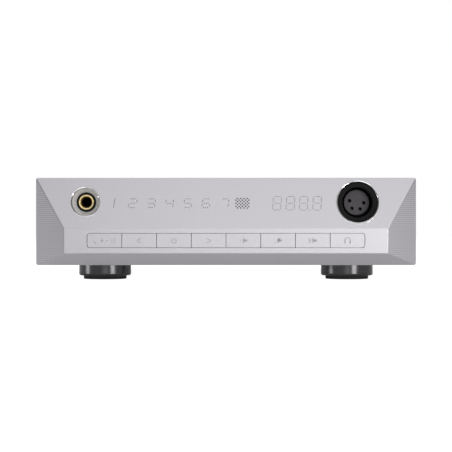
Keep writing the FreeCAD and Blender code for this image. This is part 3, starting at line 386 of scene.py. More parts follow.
def make_piece(bm, name, body, finishes, replaces=(), sharp=30.0, flat_area=None):
    """Turns a bmesh into a finished piece. Flat regions larger than flat_area keep their own flat normals.
    Finishes are names with a space between them, in the order of the material indices."""
    bm.normal_update()
    flat = flat_faces(bm, flat_area) if flat_area else set()
    for edge in bm.edges:
        bend = edge_angle(edge)
        edge.smooth = bend < math.radians(sharp)
        if bend > math.radians(0.5) and any(f in flat for f in edge.link_faces):
            edge.smooth = False
    for face in bm.faces:
        face.smooth = True
    mesh = bpy.data.meshes.new(name)
    bm.to_mesh(mesh)
    bm.free()
    piece = bpy.data.objects.new(name, mesh)
    bpy.context.scene.collection.objects.link(piece)
    for label in finishes.split():
        mesh.materials.append(finish(label))
    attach(piece, body)
    if replaces:
        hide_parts(*replaces)
    return piece


def dressed_copy(node, name, finishes, width=None, body="case", angle=30.0, test=None):
    """A smooth copy of a node with softened edges, standing for it."""
    bm = copy_of(node)
    if width:
        soften(bm, width, angle, test)
    make_piece(bm, name, body, finishes, [node], flat_area=FLAT_AREA)


def moulded_copy(node, name, width, body="case", angle=60.0):
    dressed_copy(node, name, "moulded_black", width, body, angle)


def turned(bm, profile, centre, axis=(0, 0, 1), steps=None, soften_by=None):
    """Spins a closed profile of (radius, distance along the axis) about an axis through centre."""
    part = bmesh.new()
    verts = [part.verts.new((r, 0.0, h)) for r, h in profile]
    for a, b in zip(verts, verts[1:] + verts[:1]):
        part.edges.new((a, b))
    bmesh.ops.spin(part, geom=part.verts[:] + part.edges[:], cent=(0, 0, 0), axis=(0, 0, 1),
                   angle=2 * math.pi, steps=steps or bpy.context.scene.amp_case.turned_steps, use_merge=True,
                   use_duplicate=False)
    bmesh.ops.remove_doubles(part, verts=part.verts, dist=1e-7)
    bmesh.ops.dissolve_degenerate(part, edges=part.edges, dist=1e-8)
    bmesh.ops.recalc_face_normals(part, faces=part.faces)
    if soften_by:
        soften(part, soften_by)
    turn = Vector((0, 0, 1)).rotation_difference(Vector(axis)).to_matrix().to_4x4()
    bmesh.ops.transform(part, matrix=Matrix.Translation(centre) @ turn, verts=part.verts)
    pour(part, bm)


def pour(part, bm):
    """Adds one bmesh to another and frees it."""
    mesh = bpy.data.meshes.new("pour")
    part.to_mesh(mesh)
    part.free()
    bm.from_mesh(mesh)
    bpy.data.meshes.remove(mesh)


def bar(bm, start, end, width, y0, y1):
    """A flat bar in the XZ plane from start to end, between two depths."""
    (x0, z0), (x1, z1) = start, end
    length = math.hypot(x1 - x0, z1 - z0)
    turn = Matrix.Rotation(-math.atan2(z1 - z0, x1 - x0), 4, "Y")
    place = Matrix.Translation(((x0 + x1) / 2, (y0 + y1) / 2, (z0 + z1) / 2))
    size = Matrix.Diagonal((length, y1 - y0, width, 1.0))
    bmesh.ops.create_cube(bm, size=1.0, matrix=place @ turn @ size)


def bow(bm, centre, radius, width, start, end, y0, y1):
    """A flat arc in the XZ plane, from one angle to another in degrees, anticlockwise from +X."""
    part = bmesh.new()
    bmesh.ops.create_grid(part, x_segments=1, y_segments=1, size=0.5)
    size = Matrix.Diagonal((width, y1 - y0, 1.0, 1.0))
    bmesh.ops.transform(part, matrix=Matrix.Translation((radius, (y0 + y1) / 2, 0)) @ size, verts=part.verts)
    bmesh.ops.spin(part, geom=part.verts[:] + part.edges[:] + part.faces[:], cent=(0, 0, 0), axis=(0, 1, 0),
                   angle=-math.radians(end - start), steps=BOW_STEPS)
    bmesh.ops.recalc_face_normals(part, faces=part.faces)
    turn = Matrix.Rotation(-math.radians(start), 4, "Y")
    bmesh.ops.transform(part, matrix=Matrix.Translation((centre[0], 0, centre[1])) @ turn, verts=part.verts)
    pour(part, bm)


def flat_outline(bm, corners, y0, y1):
    """A flat plate in the XZ plane with straight edges, between two depths."""
    verts = [bm.verts.new((x, y0, z)) for x, z in corners]
    face = bm.faces.new(verts)
    lifted = bmesh.ops.extrude_face_region(bm, geom=[face])["geom"]
    lifted = [v for v in lifted if isinstance(v, bmesh.types.BMVert)]
    bmesh.ops.translate(bm, vec=(0, y1 - y0, 0), verts=lifted)
    bmesh.ops.recalc_face_normals(bm, faces=bm.faces)


def cut_with(piece, tool_bm):
    """Cuts one bmesh's shape out of a piece."""
    mesh = bpy.data.meshes.new("cutter")
    tool_bm.to_mesh(mesh)
    tool_bm.free()
    cutter = bpy.data.objects.new("cutter", mesh)
    bpy.context.scene.collection.objects.link(cutter)
    cut = piece.modifiers.new("cut", "BOOLEAN")
    cut.operation, cut.solver, cut.object = "DIFFERENCE", "EXACT", cutter
    bpy.context.view_layer.update()
    done = bpy.data.meshes.new_from_object(piece.evaluated_get(bpy.context.evaluated_depsgraph_get()))
    piece.modifiers.remove(cut)
    old, piece.data = piece.data, done
    done.name = piece.name
    bpy.data.meshes.remove(old)
    bpy.data.objects.remove(cutter)
    bpy.data.meshes.remove(mesh)


def centre_of(node):
    lo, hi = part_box(node)
    return (lo + hi) / 2


def islands(node):
    """The box of each loose part of a node, as (lowest, highest) pairs."""
    bm = bmesh.new()
    bm.from_mesh(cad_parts[node].data)
    bmesh.ops.remove_doubles(bm, verts=bm.verts, dist=MERGE)
    left, boxes = set(bm.verts), []
    while left:
        seed = left.pop()
        group, queue = [seed], [seed]
        while queue:
            for edge in queue.pop().link_edges:
                for vert in edge.verts:
                    if vert in left:
                        left.remove(vert)
                        group.append(vert)
                        queue.append(vert)
        boxes.append((Vector([min(v.co[k] for v in group) for k in range(3)]),
                      Vector([max(v.co[k] for v in group) for k in range(3)])))
    bm.free()
    return sorted(boxes, key=lambda b: (round(b[0].z, 5), round(b[0].y, 5), round(b[0].x, 5)))


# ---- front panel ---------------------------------------------------------------------------------------
SEGMENTS = {"1": "bc", "2": "abged", "3": "abgcd", "4": "fgbc", "5": "afgcd", "6": "afgecd", "7": "abc",
            "8": "abcdefg"}


def segment_dots(figure, half_width, half_height, per_side, per_bar, slant):
    """Dots of a seven-segment figure, as (x, z) from its centre."""
    dots = []
    step = half_height / (per_side + 1)
    for name in SEGMENTS[figure]:
        if name in "agd":
            z = {"a": half_height, "g": 0.0, "d": -half_height}[name]
            gap = 2 * half_width / (per_bar + 1)
            dots += [(-half_width + gap * (k + 1), z) for k in range(per_bar)]
        else:
            x = half_width if name in "bc" else -half_width
            up = 1 if name in "bf" else -1
            dots += [(x, up * step * (k + 1)) for k in range(per_side)]
    if figure == "1":
        dots = [(0.0, z) for _, z in dots] + [(0.0, half_height), (0.0, 0.0), (0.0, -half_height)]
    return [(x + z * slant, z) for x, z in dots]


def display_dots():
    """Centres of the drilled dots on the leaning face, from the display's centre line, in millimetres."""
    dots = []
    for k in range(INPUT_COUNT):
        figure = segment_dots(str(k + 1), 2.35, 2.8, 2, 3, 0.14)
        dots += [(INPUT_X + INPUT_PITCH * k + x, z) for x, z in figure]
    for x0 in DIGITS_X:
        dots += [(x0 + x, z) for x, z in segment_dots("8", 2.5, 4.3, 3, 3, 0.07)]
    return dots + [POINT_AT]


def receiver_dots():
    """A staggered field of fine dots with cut corners."""
    places = [(column * RECEIVER_STEP, row * RECEIVER_STEP) for row in range(-3, 4) for column in range(-4, 5)
              if (row + column) % 2 == 0]
    return [(RECEIVER_X + x, z) for x, z in places if abs(x) + abs(z) < 6.5]


def on_leaning_face(x, z):
    """Puts Z-up work square on the leaning face, x and z in millimetres from the display's centre line."""
    y = PANEL_LO.y + (DISPLAY_Z - STRIP_TOP) * math.tan(LEAN)
    frame_of_face = Matrix.Translation((0, y, DISPLAY_Z)) @ Matrix.Rotation(-LEAN, 4, "X")
    place = Matrix.Translation((x * MM, 0.5 * MM, z * MM))
    return frame_of_face @ place @ Matrix.Rotation(math.pi / 2, 4, "X")


class AMP_OT_front_panel(bpy.types.Operator):
    """Front panel with softened facet edges and drilled display dots"""

    bl_idname = "amp.front_panel"
    bl_label = "Front panel"

    def execute(self, context):
        sizes = context.scene.amp_front
        bm = copy_of("front_panel")

        def facet_corner(vert):
            """On an edge between two facets, and not at a window or a socket."""
            x, y, z = abs(vert.co.x), vert.co.y, vert.co.z
            on_strip = abs(y - PANEL_LO.y) < 1e-5 and (abs(x - STRIP_X) < 1e-5 or abs(z - STRIP_TOP) < 1e-5
                                                       or abs(z - STRIP_FOOT) < 1e-5)
            return on_strip or (y < OUTLINE_Y + 1e-5 and x > PANEL_HI.x - 1.5 * MM)

        soften(bm, sizes.edge, 8.0, lambda e: e.calc_length() > 8 * MM and all(map(facet_corner, e.verts)))
        bm.normal_update()
        for face in bm.faces:
            # Faces turned to the sides take the facet finish, whose darker colour is painted shade.
            face.material_index = int(abs(face.normal.x) > 0.25 and face.normal.y < -0.5)
        panel = make_piece(bm, "milled_front_panel", "case",
                           "blasted_aluminium milled_facet", ["front_panel"], 25.0, FLAT_AREA)
        tool = bmesh.new()
        for dots, radius, sides in ((display_dots(), sizes.dot_radius, 10),
                                    (receiver_dots(), sizes.mesh_radius, 8)):
            for x, z in dots:
                bmesh.ops.create_cone(tool, cap_ends=True, segments=sides, radius1=radius, radius2=radius,
                                      depth=2.6 * MM, matrix=on_leaning_face(x, z))
        size = Matrix.Diagonal((2 * STRIP_X - 0.4 * MM, 0.6 * MM, sizes.groove, 1.0))
        bmesh.ops.create_cube(tool, size=1.0, matrix=Matrix.Translation((0, PANEL_LO.y, STRIP_TOP)) @ size)
        cut_with(panel, tool)
        return {"FINISHED"}


class AMP_OT_facet_ribs(bpy.types.Operator):
    """Fine level ribs on both side facets"""

    bl_idname = "amp.facet_ribs"
    bl_label = "Facet ribs"

    def execute(self, context):
        sizes = context.scene.amp_front
        run = Vector((PANEL_HI.x - STRIP_X, OUTLINE_Y - PANEL_LO.y, 0.0))
        across = Vector((run.y, -run.x, 0.0)).normalized()
        for side, name in ((-1, "left_facet_ribs"), (1, "right_facet_ribs")):
            bm = bmesh.new()
            z = PANEL_LO.z + 1.2 * MM
            while z < PANEL_HI.z - 0.8 * MM:
                if z > STRIP_TOP:
                    near = (z - STRIP_TOP) / (PANEL_HI.z - STRIP_TOP)
                else:
                    near = max(0.0, (STRIP_FOOT - z) / (STRIP_FOOT - PANEL_LO.z))
                fade = min(1.0, (z - PANEL_LO.z) / (14 * MM))
                reach = run.length * (1.0 - near) - 0.9 * MM
                if reach > 1 * MM:
                    start = Vector((STRIP_X, PANEL_LO.y, z)) + run * near + run.normalized() * 0.45 * MM
                    middle = start + run.normalized() * reach / 2 + across * sizes.rib_height * (fade - 0.5)
                    middle.z = z
                    turn = Matrix.Rotation(math.atan2(run.y, run.x), 4, "Z")
                    size = Matrix.Diagonal((reach, sizes.rib_height, sizes.rib_pitch * 0.4, 1.0))
                    bmesh.ops.create_cube(bm, size=1.0, matrix=Matrix.Translation(middle) @ turn @ size)
                z += sizes.rib_pitch
            if side < 0:
                bmesh.ops.scale(bm, vec=(-1, 1, 1), verts=bm.verts)
                bmesh.ops.reverse_faces(bm, faces=bm.faces)
            make_piece(bm, name, "case", "blasted_aluminium")
        return {"FINISHED"}


# ---- keys ----------------------------------------------------------------------------------------------
def key_mark(bm, kind, x, z, y0, y1, line):
    """Draws one key's mark as thin raised lines. Strokes are in millimetres from the key's middle."""
    def stroke(x0, z0, x1, z1, share=1.0):
        bar(bm, (x + x0 * MM, z + z0 * MM), (x + x1 * MM, z + z1 * MM), line * share, y0, y1)

    if kind == "gain_key":
        stroke(-6.2, -1.5, -6.2, -0.2)
        stroke(-6.2, -1.5, -4.9, -1.5)
        stroke(-2.6, 0, -0.5, 0)
        stroke(-1.5, -1.7, -1.5, 1.2)
        stroke(0.9, 0, 2.4, 0)
        for dx in (4.6, 6.3):
            stroke(dx, -1.5, dx, 1.3)
    elif kind in ("input_back_key", "input_next_key"):
        way = -1 if kind == "input_back_key" else 1
        for up in (-1, 1):
            stroke(-way * 1.35, up * 1.5, way * 1.35, up * line / MM * 0.15)
    elif kind == "power_key":
        bow(bm, (x, z - 0.15 * MM), 1.45 * MM, line, 125.0, 415.0, y0, y1)
        stroke(0, 0.1, 0, 1.8)
    elif kind == "output_key":
        bow(bm, (x, z), 1.7 * MM, line, -20.0, 200.0, y0, y1)
        for side in (-1.55, 1.55):
            stroke(side, -1.75, side, -0.3, 1.9)
    else:
        speaker = [(1.9, -0.62), (1.9, 0.62), (0.75, 0.62), (-0.75, 1.55), (-0.75, -1.55), (0.75, -0.62)]
        flat_outline(bm, [(x + (dx + 0.5) * MM, z + dz * MM) for dx, dz in speaker], y0, y1)
        if kind == "volume_down_key":
            stroke(-2.1, 0, -1.3, 0)
        elif kind == "mute_key":
            stroke(-2.2, -1.8, 1.9, 1.9, 0.8)
        else:
            for dx, half in ((-1.3, 0.8), (-2.2, 1.4)):
                stroke(dx, -half, dx, half)


class AMP_OT_keys(bpy.types.Operator):
    """Eight key caps with softened edges, each with its printed mark"""

    bl_idname = "amp.keys"
    bl_label = "Keys"

    def execute(self, context):
        sizes = context.scene.amp_front
        for node in KEYS:
            lo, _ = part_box(node)
            middle = centre_of(node)
            dressed_copy(node, node + "_cap", "blasted_aluminium", sizes.key_edge, node,
                         test=lambda e: all(v.co.y < lo.y + 0.3 * MM for v in e.verts))
            bm = bmesh.new()
            key_mark(bm, node, middle.x, middle.z, lo.y - 0.02 * MM, lo.y + 0.05 * MM, sizes.mark_line)
            make_piece(bm, node + "_mark", node, "printed_mark")
        return {"FINISHED"}


# ---- headphone sockets ---------------------------------------------------------------------------------
def ring_in_face(profile, centre, mouth_edge, soft):
    """A turned ring cut flush with the leaning face, with a rounded mouth. The profile runs past the face."""
    bm = bmesh.new()
    turned(bm, profile, centre, (0, 1, 0))
    point = (0.0, PANEL_LO.y, STRIP_TOP)
    out = Vector((0.0, -math.cos(LEAN), math.sin(LEAN)))
    bmesh.ops.bisect_plane(bm, geom=bm.verts[:] + bm.edges[:] + bm.faces[:], dist=1e-8, plane_co=point,
                           plane_no=out, clear_outer=True)
    bmesh.ops.bridge_loops(bm, edges=[e for e in bm.edges if e.is_boundary])
    bmesh.ops.recalc_face_normals(bm, faces=bm.faces)
    middle = Vector((centre[0], centre[2]))
    inner = min(r for r, _ in profile[1:4])

    def mouth(edge):
        at = [abs(math.hypot(v.co.x - middle.x, v.co.z - middle.y) - inner) < 0.02 * MM for v in edge.verts]
        return all(at) and edge_angle(edge) > math.radians(40)

    def front(edge):
        return all((v.co - Vector(point)).dot(out) > -mouth_edge * 1.6 for v in edge.verts)

    soften(bm, mouth_edge, 40.0, lambda e: front(e) and mouth(e), 6)
    soften(bm, soft, 25.0, front, 2)
    return bm


class AMP_OT_jack(bpy.types.Operator):
    """Headphone jack: polished ring with a turned funnel, gold bushing, black collar and contacts"""

    bl_idname = "amp.jack"
    bl_label = "Headphone jack"

    def execute(self, context):
        lo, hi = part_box("jack_bushing")
        middle = (lo + hi) / 2
        ring_lo, ring_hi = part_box("jack_trim_ring")
        ring_r = (ring_hi.x - ring_lo.x) / 2
        bore, collar, back = ring_r - JACK_LIP, JACK_COLLAR_R, ring_hi.y
        start = PANEL_LO.y - 1 * MM
        narrows = PANEL_LO.y + (middle.z + ring_r - STRIP_TOP) * math.tan(LEAN) + 1.25 * MM
        seat = back - 0.7 * MM
        bm = ring_in_face([(ring_r, back), (ring_r, start), (bore, start), (bore, narrows), (collar, seat),
                           (collar, back)], (middle.x, 0, middle.z), JACK_MOUTH, 0.07 * MM)
        # Faces inside the bore are the funnel, whose near-white colour is painted light.
        for face in bm.faces:
            at = face.calc_center_median()
            face.material_index = int(math.hypot(at.x - middle.x, at.z - middle.z) < bore - 0.02 * MM)
        make_piece(bm, "jack_polished_ring", "case",
                   "polished_ring_metal turned_funnel_metal",
                   ["jack_trim_ring"], 25.0, FLAT_AREA)
        outer, inner, front, end = (hi.x - lo.x) / 2, JACK_BORE_R, lo.y, hi.y
        bm = bmesh.new()
        turned(bm, [(inner, front + 0.9 * MM), (inner + 0.65 * MM, front), (outer - 0.25 * MM, front),
                    (outer, front + 0.25 * MM), (outer, end), (inner, end)], (middle.x, 0, middle.z),
               (0, 1, 0), soften_by=0.06 * MM)
        make_piece(bm, "jack_gold_bushing", "case", "gold_plate", ["jack_bushing"], 40.0)
        dressed_copy("jack_body", "jack_moulded_body", "anodised_black")
        dressed_copy("jack_contacts", "jack_spring_contacts", "gold_plate")
        return {"FINISHED"}


class AMP_OT_four_pin(bpy.types.Operator):
    """Four-pin headphone socket: polished ring, ringed black shell, insert with its two rings and contacts"""

    bl_idname = "amp.four_pin"
    bl_label = "Four-pin socket"

    def execute(self, context):
        lo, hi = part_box("xlr_insert")
        middle = (lo + hi) / 2
        shell_lo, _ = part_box("xlr_shell")
        ring_lo, ring_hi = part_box("xlr_trim_ring")
        ring_r, start = (ring_hi.x - ring_lo.x) / 2, PANEL_LO.y - 1 * MM
        bore = ring_r - SOCKET_LIP
        bm = ring_in_face([(ring_r, ring_hi.y), (ring_r, start), (bore, start), (bore, ring_hi.y)],
                          (middle.x, 0, middle.z), SOCKET_MOUTH, 0.08 * MM)
        make_piece(bm, "socket_polished_ring", "case", "polished_ring_metal",
                   ["xlr_trim_ring"], 25.0, FLAT_AREA)
        dressed_copy("xlr_shell", "socket_shell", "anodised_black")
        dressed_copy("xlr_insert", "socket_insert", "insert_grey")
        dressed_copy("xlr_contacts", "socket_contacts", "dark_bronze")
        bm = bmesh.new()
        rings = context.scene.amp_case.barrel_rings
        for k in range(rings):
            y = shell_lo.y + (1.6 + 1.0 * k) * MM
            inner = SOCKET_GAP_R - 0.22 * MM
            turned(bm, [(SOCKET_GAP_R, y), (inner, y + 0.12 * MM), (inner, y + 0.34 * MM),
                        (SOCKET_GAP_R, y + 0.46 * MM)], (middle.x, 0, middle.z), (0, 1, 0))
        if rings:
            make_piece(bm, "socket_barrel_rings", "case", "anodised_black")
        bm = bmesh.new()
        face = lo.y
        for r0, r1, rise, steps in ((1.35, 1.75, 0.12, 48), (6.9, 7.3, 0.15, None)):
            r0, r1, sunk, top = r0 * MM, r1 * MM, face + 0.05 * MM, face - rise * MM
            turned(bm, [(r0, sunk), (r0, top), (r1, top), (r1, sunk)], (middle.x, 0, middle.z), (0, 1, 0),
                   steps, 0.04 * MM)
        make_piece(bm, "socket_insert_rings", "case", "insert_grey")
        return {"FINISHED"}


# ---- case ----------------------------------------------------------------------------------------------
class AMP_OT_case(bpy.types.Operator):
    """Side rails, cover, base and rear panel with softened edges"""

    bl_idname = "amp.case"
    bl_label = "Case"

    def execute(self, context):
        width = context.scene.amp_case.edge
        whole = [("left_side_rail", "left_rail_body"), ("right_side_rail", "right_rail_body"),
                 ("top_cover", "cover_plate"), ("bottom_plate", "base_plate")]
        for node, name in whole:
            dressed_copy(node, name, "blasted_aluminium", width, angle=60.0,
                         test=lambda e: e.calc_length() > 20 * MM)
        dressed_copy("rear_panel", "rear_plate", "satin_rear_aluminium", width, angle=60.0,
                     test=lambda e: e.calc_length() > 40 * MM)
        return {"FINISHED"}


class AMP_OT_screws(bpy.types.Operator):
    """Cap screws of the case, sockets, feet and boards"""

    bl_idname = "amp.screws"
    bl_label = "Screws"

    def execute(self, context):
        for node in ("case_screws", "socket_screws", "foot_screws", "board_screws"):
            dressed_copy(node, node + "_turned", "screw_steel", 0.12 * MM, angle=60.0,
                         test=lambda e: e.calc_length() < 1.2 * MM)
        return {"FINISHED"}


class AMP_OT_feet(bpy.types.Operator):
    """Turned and polished foot cups with rubber pads"""

    bl_idname = "amp.feet"
    bl_label = "Feet"

    def execute(self, context):
        sizes = context.scene.amp_case
        cups, pads = bmesh.new(), bmesh.new()
        for (lo, hi), (pad_lo, pad_hi) in zip(islands("foot_cups"), islands("foot_pads")):
            x, y = (lo.x + hi.x) / 2, (lo.y + hi.y) / 2
            r, low, top = (hi.x - lo.x) / 2, lo.z, hi.z
            e = sizes.foot_edge
            rounding = [(r - e + e * math.sin(a), low + e - e * math.cos(a))
                        for a in (math.radians(15 * k) for k in range(7))]
            pad_r = (pad_hi.x - pad_lo.x) / 2
            rounding.append((r, low + e + 0.15 * MM))
            seat = pad_r + 0.05 * MM
            turned(cups, rounding + [(r, top - 0.5 * MM), (r, top - 0.35 * MM), (r - 0.3 * MM, top),
                                     (2.2 * MM, top), (2.2 * MM, pad_hi.z + 0.05 * MM),
                                     (seat, pad_hi.z + 0.05 * MM), (seat, low)], (x, y, 0))
            grooves = []
            for k in range(3):
                g = pad_r * (0.35 + 0.2 * k)
                grooves += [(g, pad_lo.z), (g + 0.3 * MM, pad_lo.z + 0.45 * MM),
                            (g + 0.9 * MM, pad_lo.z + 0.45 * MM), (g + 1.2 * MM, pad_lo.z)]
            turned(pads, [(0.0, pad_lo.z)] + grooves + [(pad_r - 0.6 * MM, pad_lo.z),
                                                        (pad_r - 0.15 * MM, pad_lo.z + 0.2 * MM),
                                                        (pad_r, pad_lo.z + 0.6 * MM), (pad_r, pad_hi.z),
                                                        (0.0, pad_hi.z)], (x, y, 0))
        make_piece(cups, "foot_cups_turned", "case", "gunmetal_foot", ["foot_cups"], 35.0)
        make_piece(pads, "foot_pads_moulded", "case", "foot_rubber", ["foot_pads"], 35.0)
        return {"FINISHED"}


# ---- rear ----------------------------------------------------------------------------------------------
class AMP_OT_line_sockets(bpy.types.Operator):
    """Phono sockets with gold barrels and coloured insulators, and the two balanced outputs"""

    bl_idname = "amp.line_sockets"
    bl_label = "Line sockets"

    def execute(self, context):
        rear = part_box("rear_panel")[1].y
        bodies, barrels, red, white = bmesh.new(), bmesh.new(), bmesh.new(), bmesh.new()
        boxes = islands("rca_sockets")
        middle = sum(b[0].z for b in boxes) / len(boxes)
        for lo, hi in boxes:
            x, z = (lo.x + hi.x) / 2, (lo.z + hi.z) / 2
            tip, half = hi.y, (hi.x - lo.x) / 2
            back, step = lo.y, rear - REAR_THICK
            size = Matrix.Diagonal((2 * half, step - back, 2 * half, 1.0))
            place = Matrix.Translation((x, (back + step) / 2, z))
            bmesh.ops.create_cube(bodies, size=1.0, matrix=place @ size)
            turned(barrels, [(PHONO_BORE_R, tip), (PHONO_R - 0.15 * MM, tip), (PHONO_R, tip - 0.2 * MM),
                             (PHONO_R, rear + 1.2 * MM), (PHONO_COLLAR_R, rear + 1.1 * MM),
                             (PHONO_COLLAR_R, rear), (PHONO_ROOT_R, rear), (PHONO_ROOT_R, step),
                             (PHONO_BORE_R, step)], (x, 0, z), (0, 1, 0), 64, 0.06 * MM)
            colour = white if lo.z < middle else red
            hole, wall, floor = 1.65 * MM, 3.33 * MM, step + 0.2 * MM
            turned(colour, [(hole, tip - 8.6 * MM), (hole, tip - 0.35 * MM), (wall, tip - 0.35 * MM),
                            (wall, floor), (0.0, floor), (0.0, tip - 8.6 * MM)], (x, 0, z), (0, 1, 0), 48)
        soften(bodies, 0.3 * MM, 60.0)
        make_piece(bodies, "phono_bodies", "case", "moulded_black", ["rca_sockets"],
                   flat_area=8e-6)
        make_piece(barrels, "phono_barrels", "case", "gold_plate")
        make_piece(red, "phono_red_insulators", "case", "signal_red")
        make_piece(white, "phono_white_insulators", "case", "signal_white")
        dressed_copy("xlr_out_sockets", "balanced_output_shells", "lacquered_black", 0.3 * MM)
        return {"FINISHED"}


class AMP_OT_digital_sockets(bpy.types.Operator):
    """Optical sockets with their flaps, and the square data socket"""

    bl_idname = "amp.digital_sockets"
    bl_label = "Digital sockets"

    def execute(self, context):
        width = context.scene.amp_case.moulded_edge
        moulded_copy("optical_sockets", "optical_housings", width)
        for node in ("lower_optical_flap", "upper_optical_flap"):
            moulded_copy(node, node + "_moulded", 0.12 * MM, node)
        dressed_copy("usb_socket", "data_socket_shell", "tinned_metal", 0.12 * MM, angle=60.0)
        return {"FINISHED"}


class AMP_OT_mains(bpy.types.Operator):
    """Mains inlet, its blades, the fuse drawer with its grip, and the rocker"""

    bl_idname = "amp.mains"
    bl_label = "Mains inlet and switch"

    def execute(self, context):
        width = context.scene.amp_case.moulded_edge
        moulded_copy("mains_inlet", "inlet_housing", width)
        dressed_copy("inlet_blades", "inlet_blades_plated", "tinned_metal", 0.3 * MM,
                     angle=60.0)
        moulded_copy("fuse_drawer", "fuse_drawer_moulded", width, "fuse_drawer")
        _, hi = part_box("fuse_drawer")
        middle = centre_of("fuse_drawer")
        z = middle.z + 2.9 * MM
        bm = bmesh.new()
        bar(bm, (middle.x - 4 * MM, z), (middle.x + 4 * MM, z), 0.9 * MM, hi.y - 0.1 * MM, hi.y + 0.5 * MM)
        soften(bm, 0.15 * MM, 60.0)
        make_piece(bm, "fuse_drawer_grip", "fuse_drawer", "moulded_black")
        moulded_copy("mains_switch_housing", "switch_bezel", width)
        moulded_copy("mains_rocker", "rocker_moulded", width, "mains_rocker", 20.0)
        return {"FINISHED"}


# ---- inside --------------------------------------------------------------------------------------------
class AMP_OT_inside(bpy.types.Operator):
    """Finishes of the pieces inside the case, which keep their own shapes"""

    bl_idname = "amp.inside"
    bl_label = "Inside"

    def execute(self, context):
        inside = {
            "solder_mask": "main_board power_board button_board display_board",
            "moulded_black": "key_frame tact_switches digit_module remote_receiver chips output_transistors",
            # The diffuser's near-black colour is painted shade behind the display dots.
            "frosted_diffuser": "display_diffuser",
            "signal_white": "input_lamps signal_relays",
            "gold_plate": "board_standoffs",
            "capacitor_sleeve": "capacitors",
            "lacquered_black": "heat_sink",
            "wound_tape": "transformer_coil",
            "zinc_plate": "transformer_clamp",
            "fuse_glass": "fuse",
            "wire_sleeve": "mains_wires",
            "ribbon_grey": "flat_cables",
        }
        for label, nodes in inside.items():
            for node in nodes.split():
                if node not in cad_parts:
                    raise RuntimeError("there is no node named " + node)
                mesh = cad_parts[node].data
                mesh.materials.clear()
                mesh.materials.append(finish(label))
        shader = finish("fuse_glass").node_tree.nodes["Principled BSDF"]
        shader.inputs["Transmission Weight"].default_value = 0.9
        return {"FINISHED"}


# ---- stage ---------------------------------------------------------------------------------------------
def soft_light(name, place, aim, size, power):
    data = bpy.data.lights.new(name, "AREA")
    data.shape, data.size, data.size_y = "RECTANGLE", size[0], size[1]
    data.energy = power
    light = bpy.data.objects.new(name, data)
    bpy.context.scene.collection.objects.link(light)
    light.location = place
    light.rotation_euler = (Vector(aim) - Vector(place)).to_track_quat("-Z", "Y").to_euler()
    return light


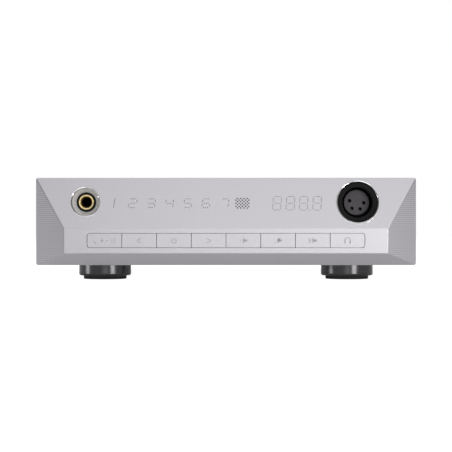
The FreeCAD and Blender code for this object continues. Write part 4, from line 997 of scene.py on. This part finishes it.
class AMP_OT_stage(bpy.types.Operator):
    """Pale floor, even room light, soft lights and the camera"""

    bl_idname = "amp.stage"
    bl_label = "Stage"

    def execute(self, context):
        sizes = context.scene.amp_stage
        scene = context.scene
        scene.view_settings.view_transform = "Standard"
        world = bpy.data.worlds.new("pale_room")
        scene.world = world
        world.use_nodes = True
        tree = world.node_tree
        even = tree.nodes["Background"]
        even.inputs["Strength"].default_value = sizes.room
        seen = tree.nodes.new("ShaderNodeBackground")
        seen.inputs["Strength"].default_value = 1.0
        path = tree.nodes.new("ShaderNodeLightPath")
        mix = tree.nodes.new("ShaderNodeMixShader")
        even.inputs["Color"].default_value = (1, 1, 1, 1)
        seen.inputs["Color"].default_value = (1, 1, 1, 1)
        tree.links.new(path.outputs["Is Camera Ray"], mix.inputs["Fac"])
        tree.links.new(even.outputs[0], mix.inputs[1])
        tree.links.new(seen.outputs[0], mix.inputs[2])
        tree.links.new(mix.outputs[0], tree.nodes["World Output"].inputs["Surface"])

        bm = bmesh.new()
        bmesh.ops.create_grid(bm, x_segments=8, y_segments=8, size=3.0)
        mesh = bpy.data.meshes.new("pale_floor")
        bm.to_mesh(mesh)
        bm.free()
        floor = bpy.data.objects.new("pale_floor", mesh)
        scene.collection.objects.link(floor)
        paper = surface("pale_paper", (0.8, 0.8, 0.8), 0.75, grains=300.0, vary=0.01, bump=0.02)
        leaves = paper.node_tree
        shader = leaves.nodes["Principled BSDF"]
        shader.inputs["Emission Color"].default_value = (1, 1, 1, 1)
        seen_by = leaves.nodes.new("ShaderNodeLightPath")
        glow = math_node(leaves, "MULTIPLY", seen_by.outputs["Is Camera Ray"], sizes.floor_glow)
        leaves.links.new(math_node(leaves, "ADD", glow, sizes.floor_fill), shader.inputs["Emission Strength"])
        mesh.materials.append(paper)

        front = OUTLINE_Y
        aim = (0.0, front, 0.03)
        soft_light("front_softbox", (0.1, front - 1.3, 0.85), aim, (1.15, 1.1), sizes.front_light)
        soft_light("right_softbox", (0.04, front - 1.3, 0.16), aim, (0.5, 0.26), sizes.right_light)
        soft_light("right_strip", (0.42, front - 0.6, 0.028), aim, (0.24, 0.055), sizes.strip_light)
        soft_light("left_strip", (-1.0, front - 0.16, 0.028), aim, (0.3, 0.055), sizes.strip_light)
        soft_light("top_softbox", (0.0, 0.1, 1.3), (0.0, 0.0, 0.0), (1.2, 1.2), sizes.top_light)

        data = bpy.data.cameras.new("camera")
        data.lens, data.sensor_width = sizes.lens, 36.0
        data.clip_start, data.clip_end = 0.01, 50.0
        camera = bpy.data.objects.new("camera", data)
        scene.collection.objects.link(camera)
        camera.location = (0.0, front - sizes.distance, sizes.height)
        camera.rotation_euler = (math.pi / 2, 0.0, 0.0)
        scene.camera = camera
        return {"FINISHED"}


class AMP_PT_build(bpy.types.Panel):
    """Lists the pieces to build"""

    bl_label = "Amplifier"
    bl_idname = "AMP_PT_build"
    bl_space_type = "VIEW_3D"
    bl_region_type = "UI"
    bl_category = "Amplifier"

    def draw(self, context):
        layout = self.layout
        for operator in OPERATORS:
            layout.operator(operator.bl_idname)
        for name in GROUPS:
            group = getattr(context.scene, name)
            column = layout.column()
            for label in group.__annotations__:
                column.prop(group, label)


GROUPS = {"amp_front": AMP_PG_front, "amp_case": AMP_PG_case, "amp_finish": AMP_PG_finish,
          "amp_stage": AMP_PG_stage}
OPERATORS = (AMP_OT_front_panel, AMP_OT_facet_ribs, AMP_OT_keys, AMP_OT_jack, AMP_OT_four_pin, AMP_OT_case,
             AMP_OT_screws, AMP_OT_feet, AMP_OT_line_sockets, AMP_OT_digital_sockets, AMP_OT_mains,
             AMP_OT_inside, AMP_OT_stage)


def register():
    for group in GROUPS.values():
        bpy.utils.register_class(group)
    for kind in OPERATORS + (AMP_PT_build,):
        bpy.utils.register_class(kind)
    for name, group in GROUPS.items():
        setattr(bpy.types.Scene, name, PointerProperty(type=group))


def unregister():
    for name in GROUPS:
        delattr(bpy.types.Scene, name)
    for kind in reversed(tuple(GROUPS.values()) + OPERATORS + (AMP_PT_build,)):
        bpy.utils.unregister_class(kind)


def main():
    register()
    for operator in OPERATORS:
        group, name = operator.bl_idname.split(".")
        if getattr(getattr(bpy.ops, group), name)() != {"FINISHED"}:
            raise RuntimeError(operator.bl_label + " didn't finish")


if __name__ == "__main__":
    main()
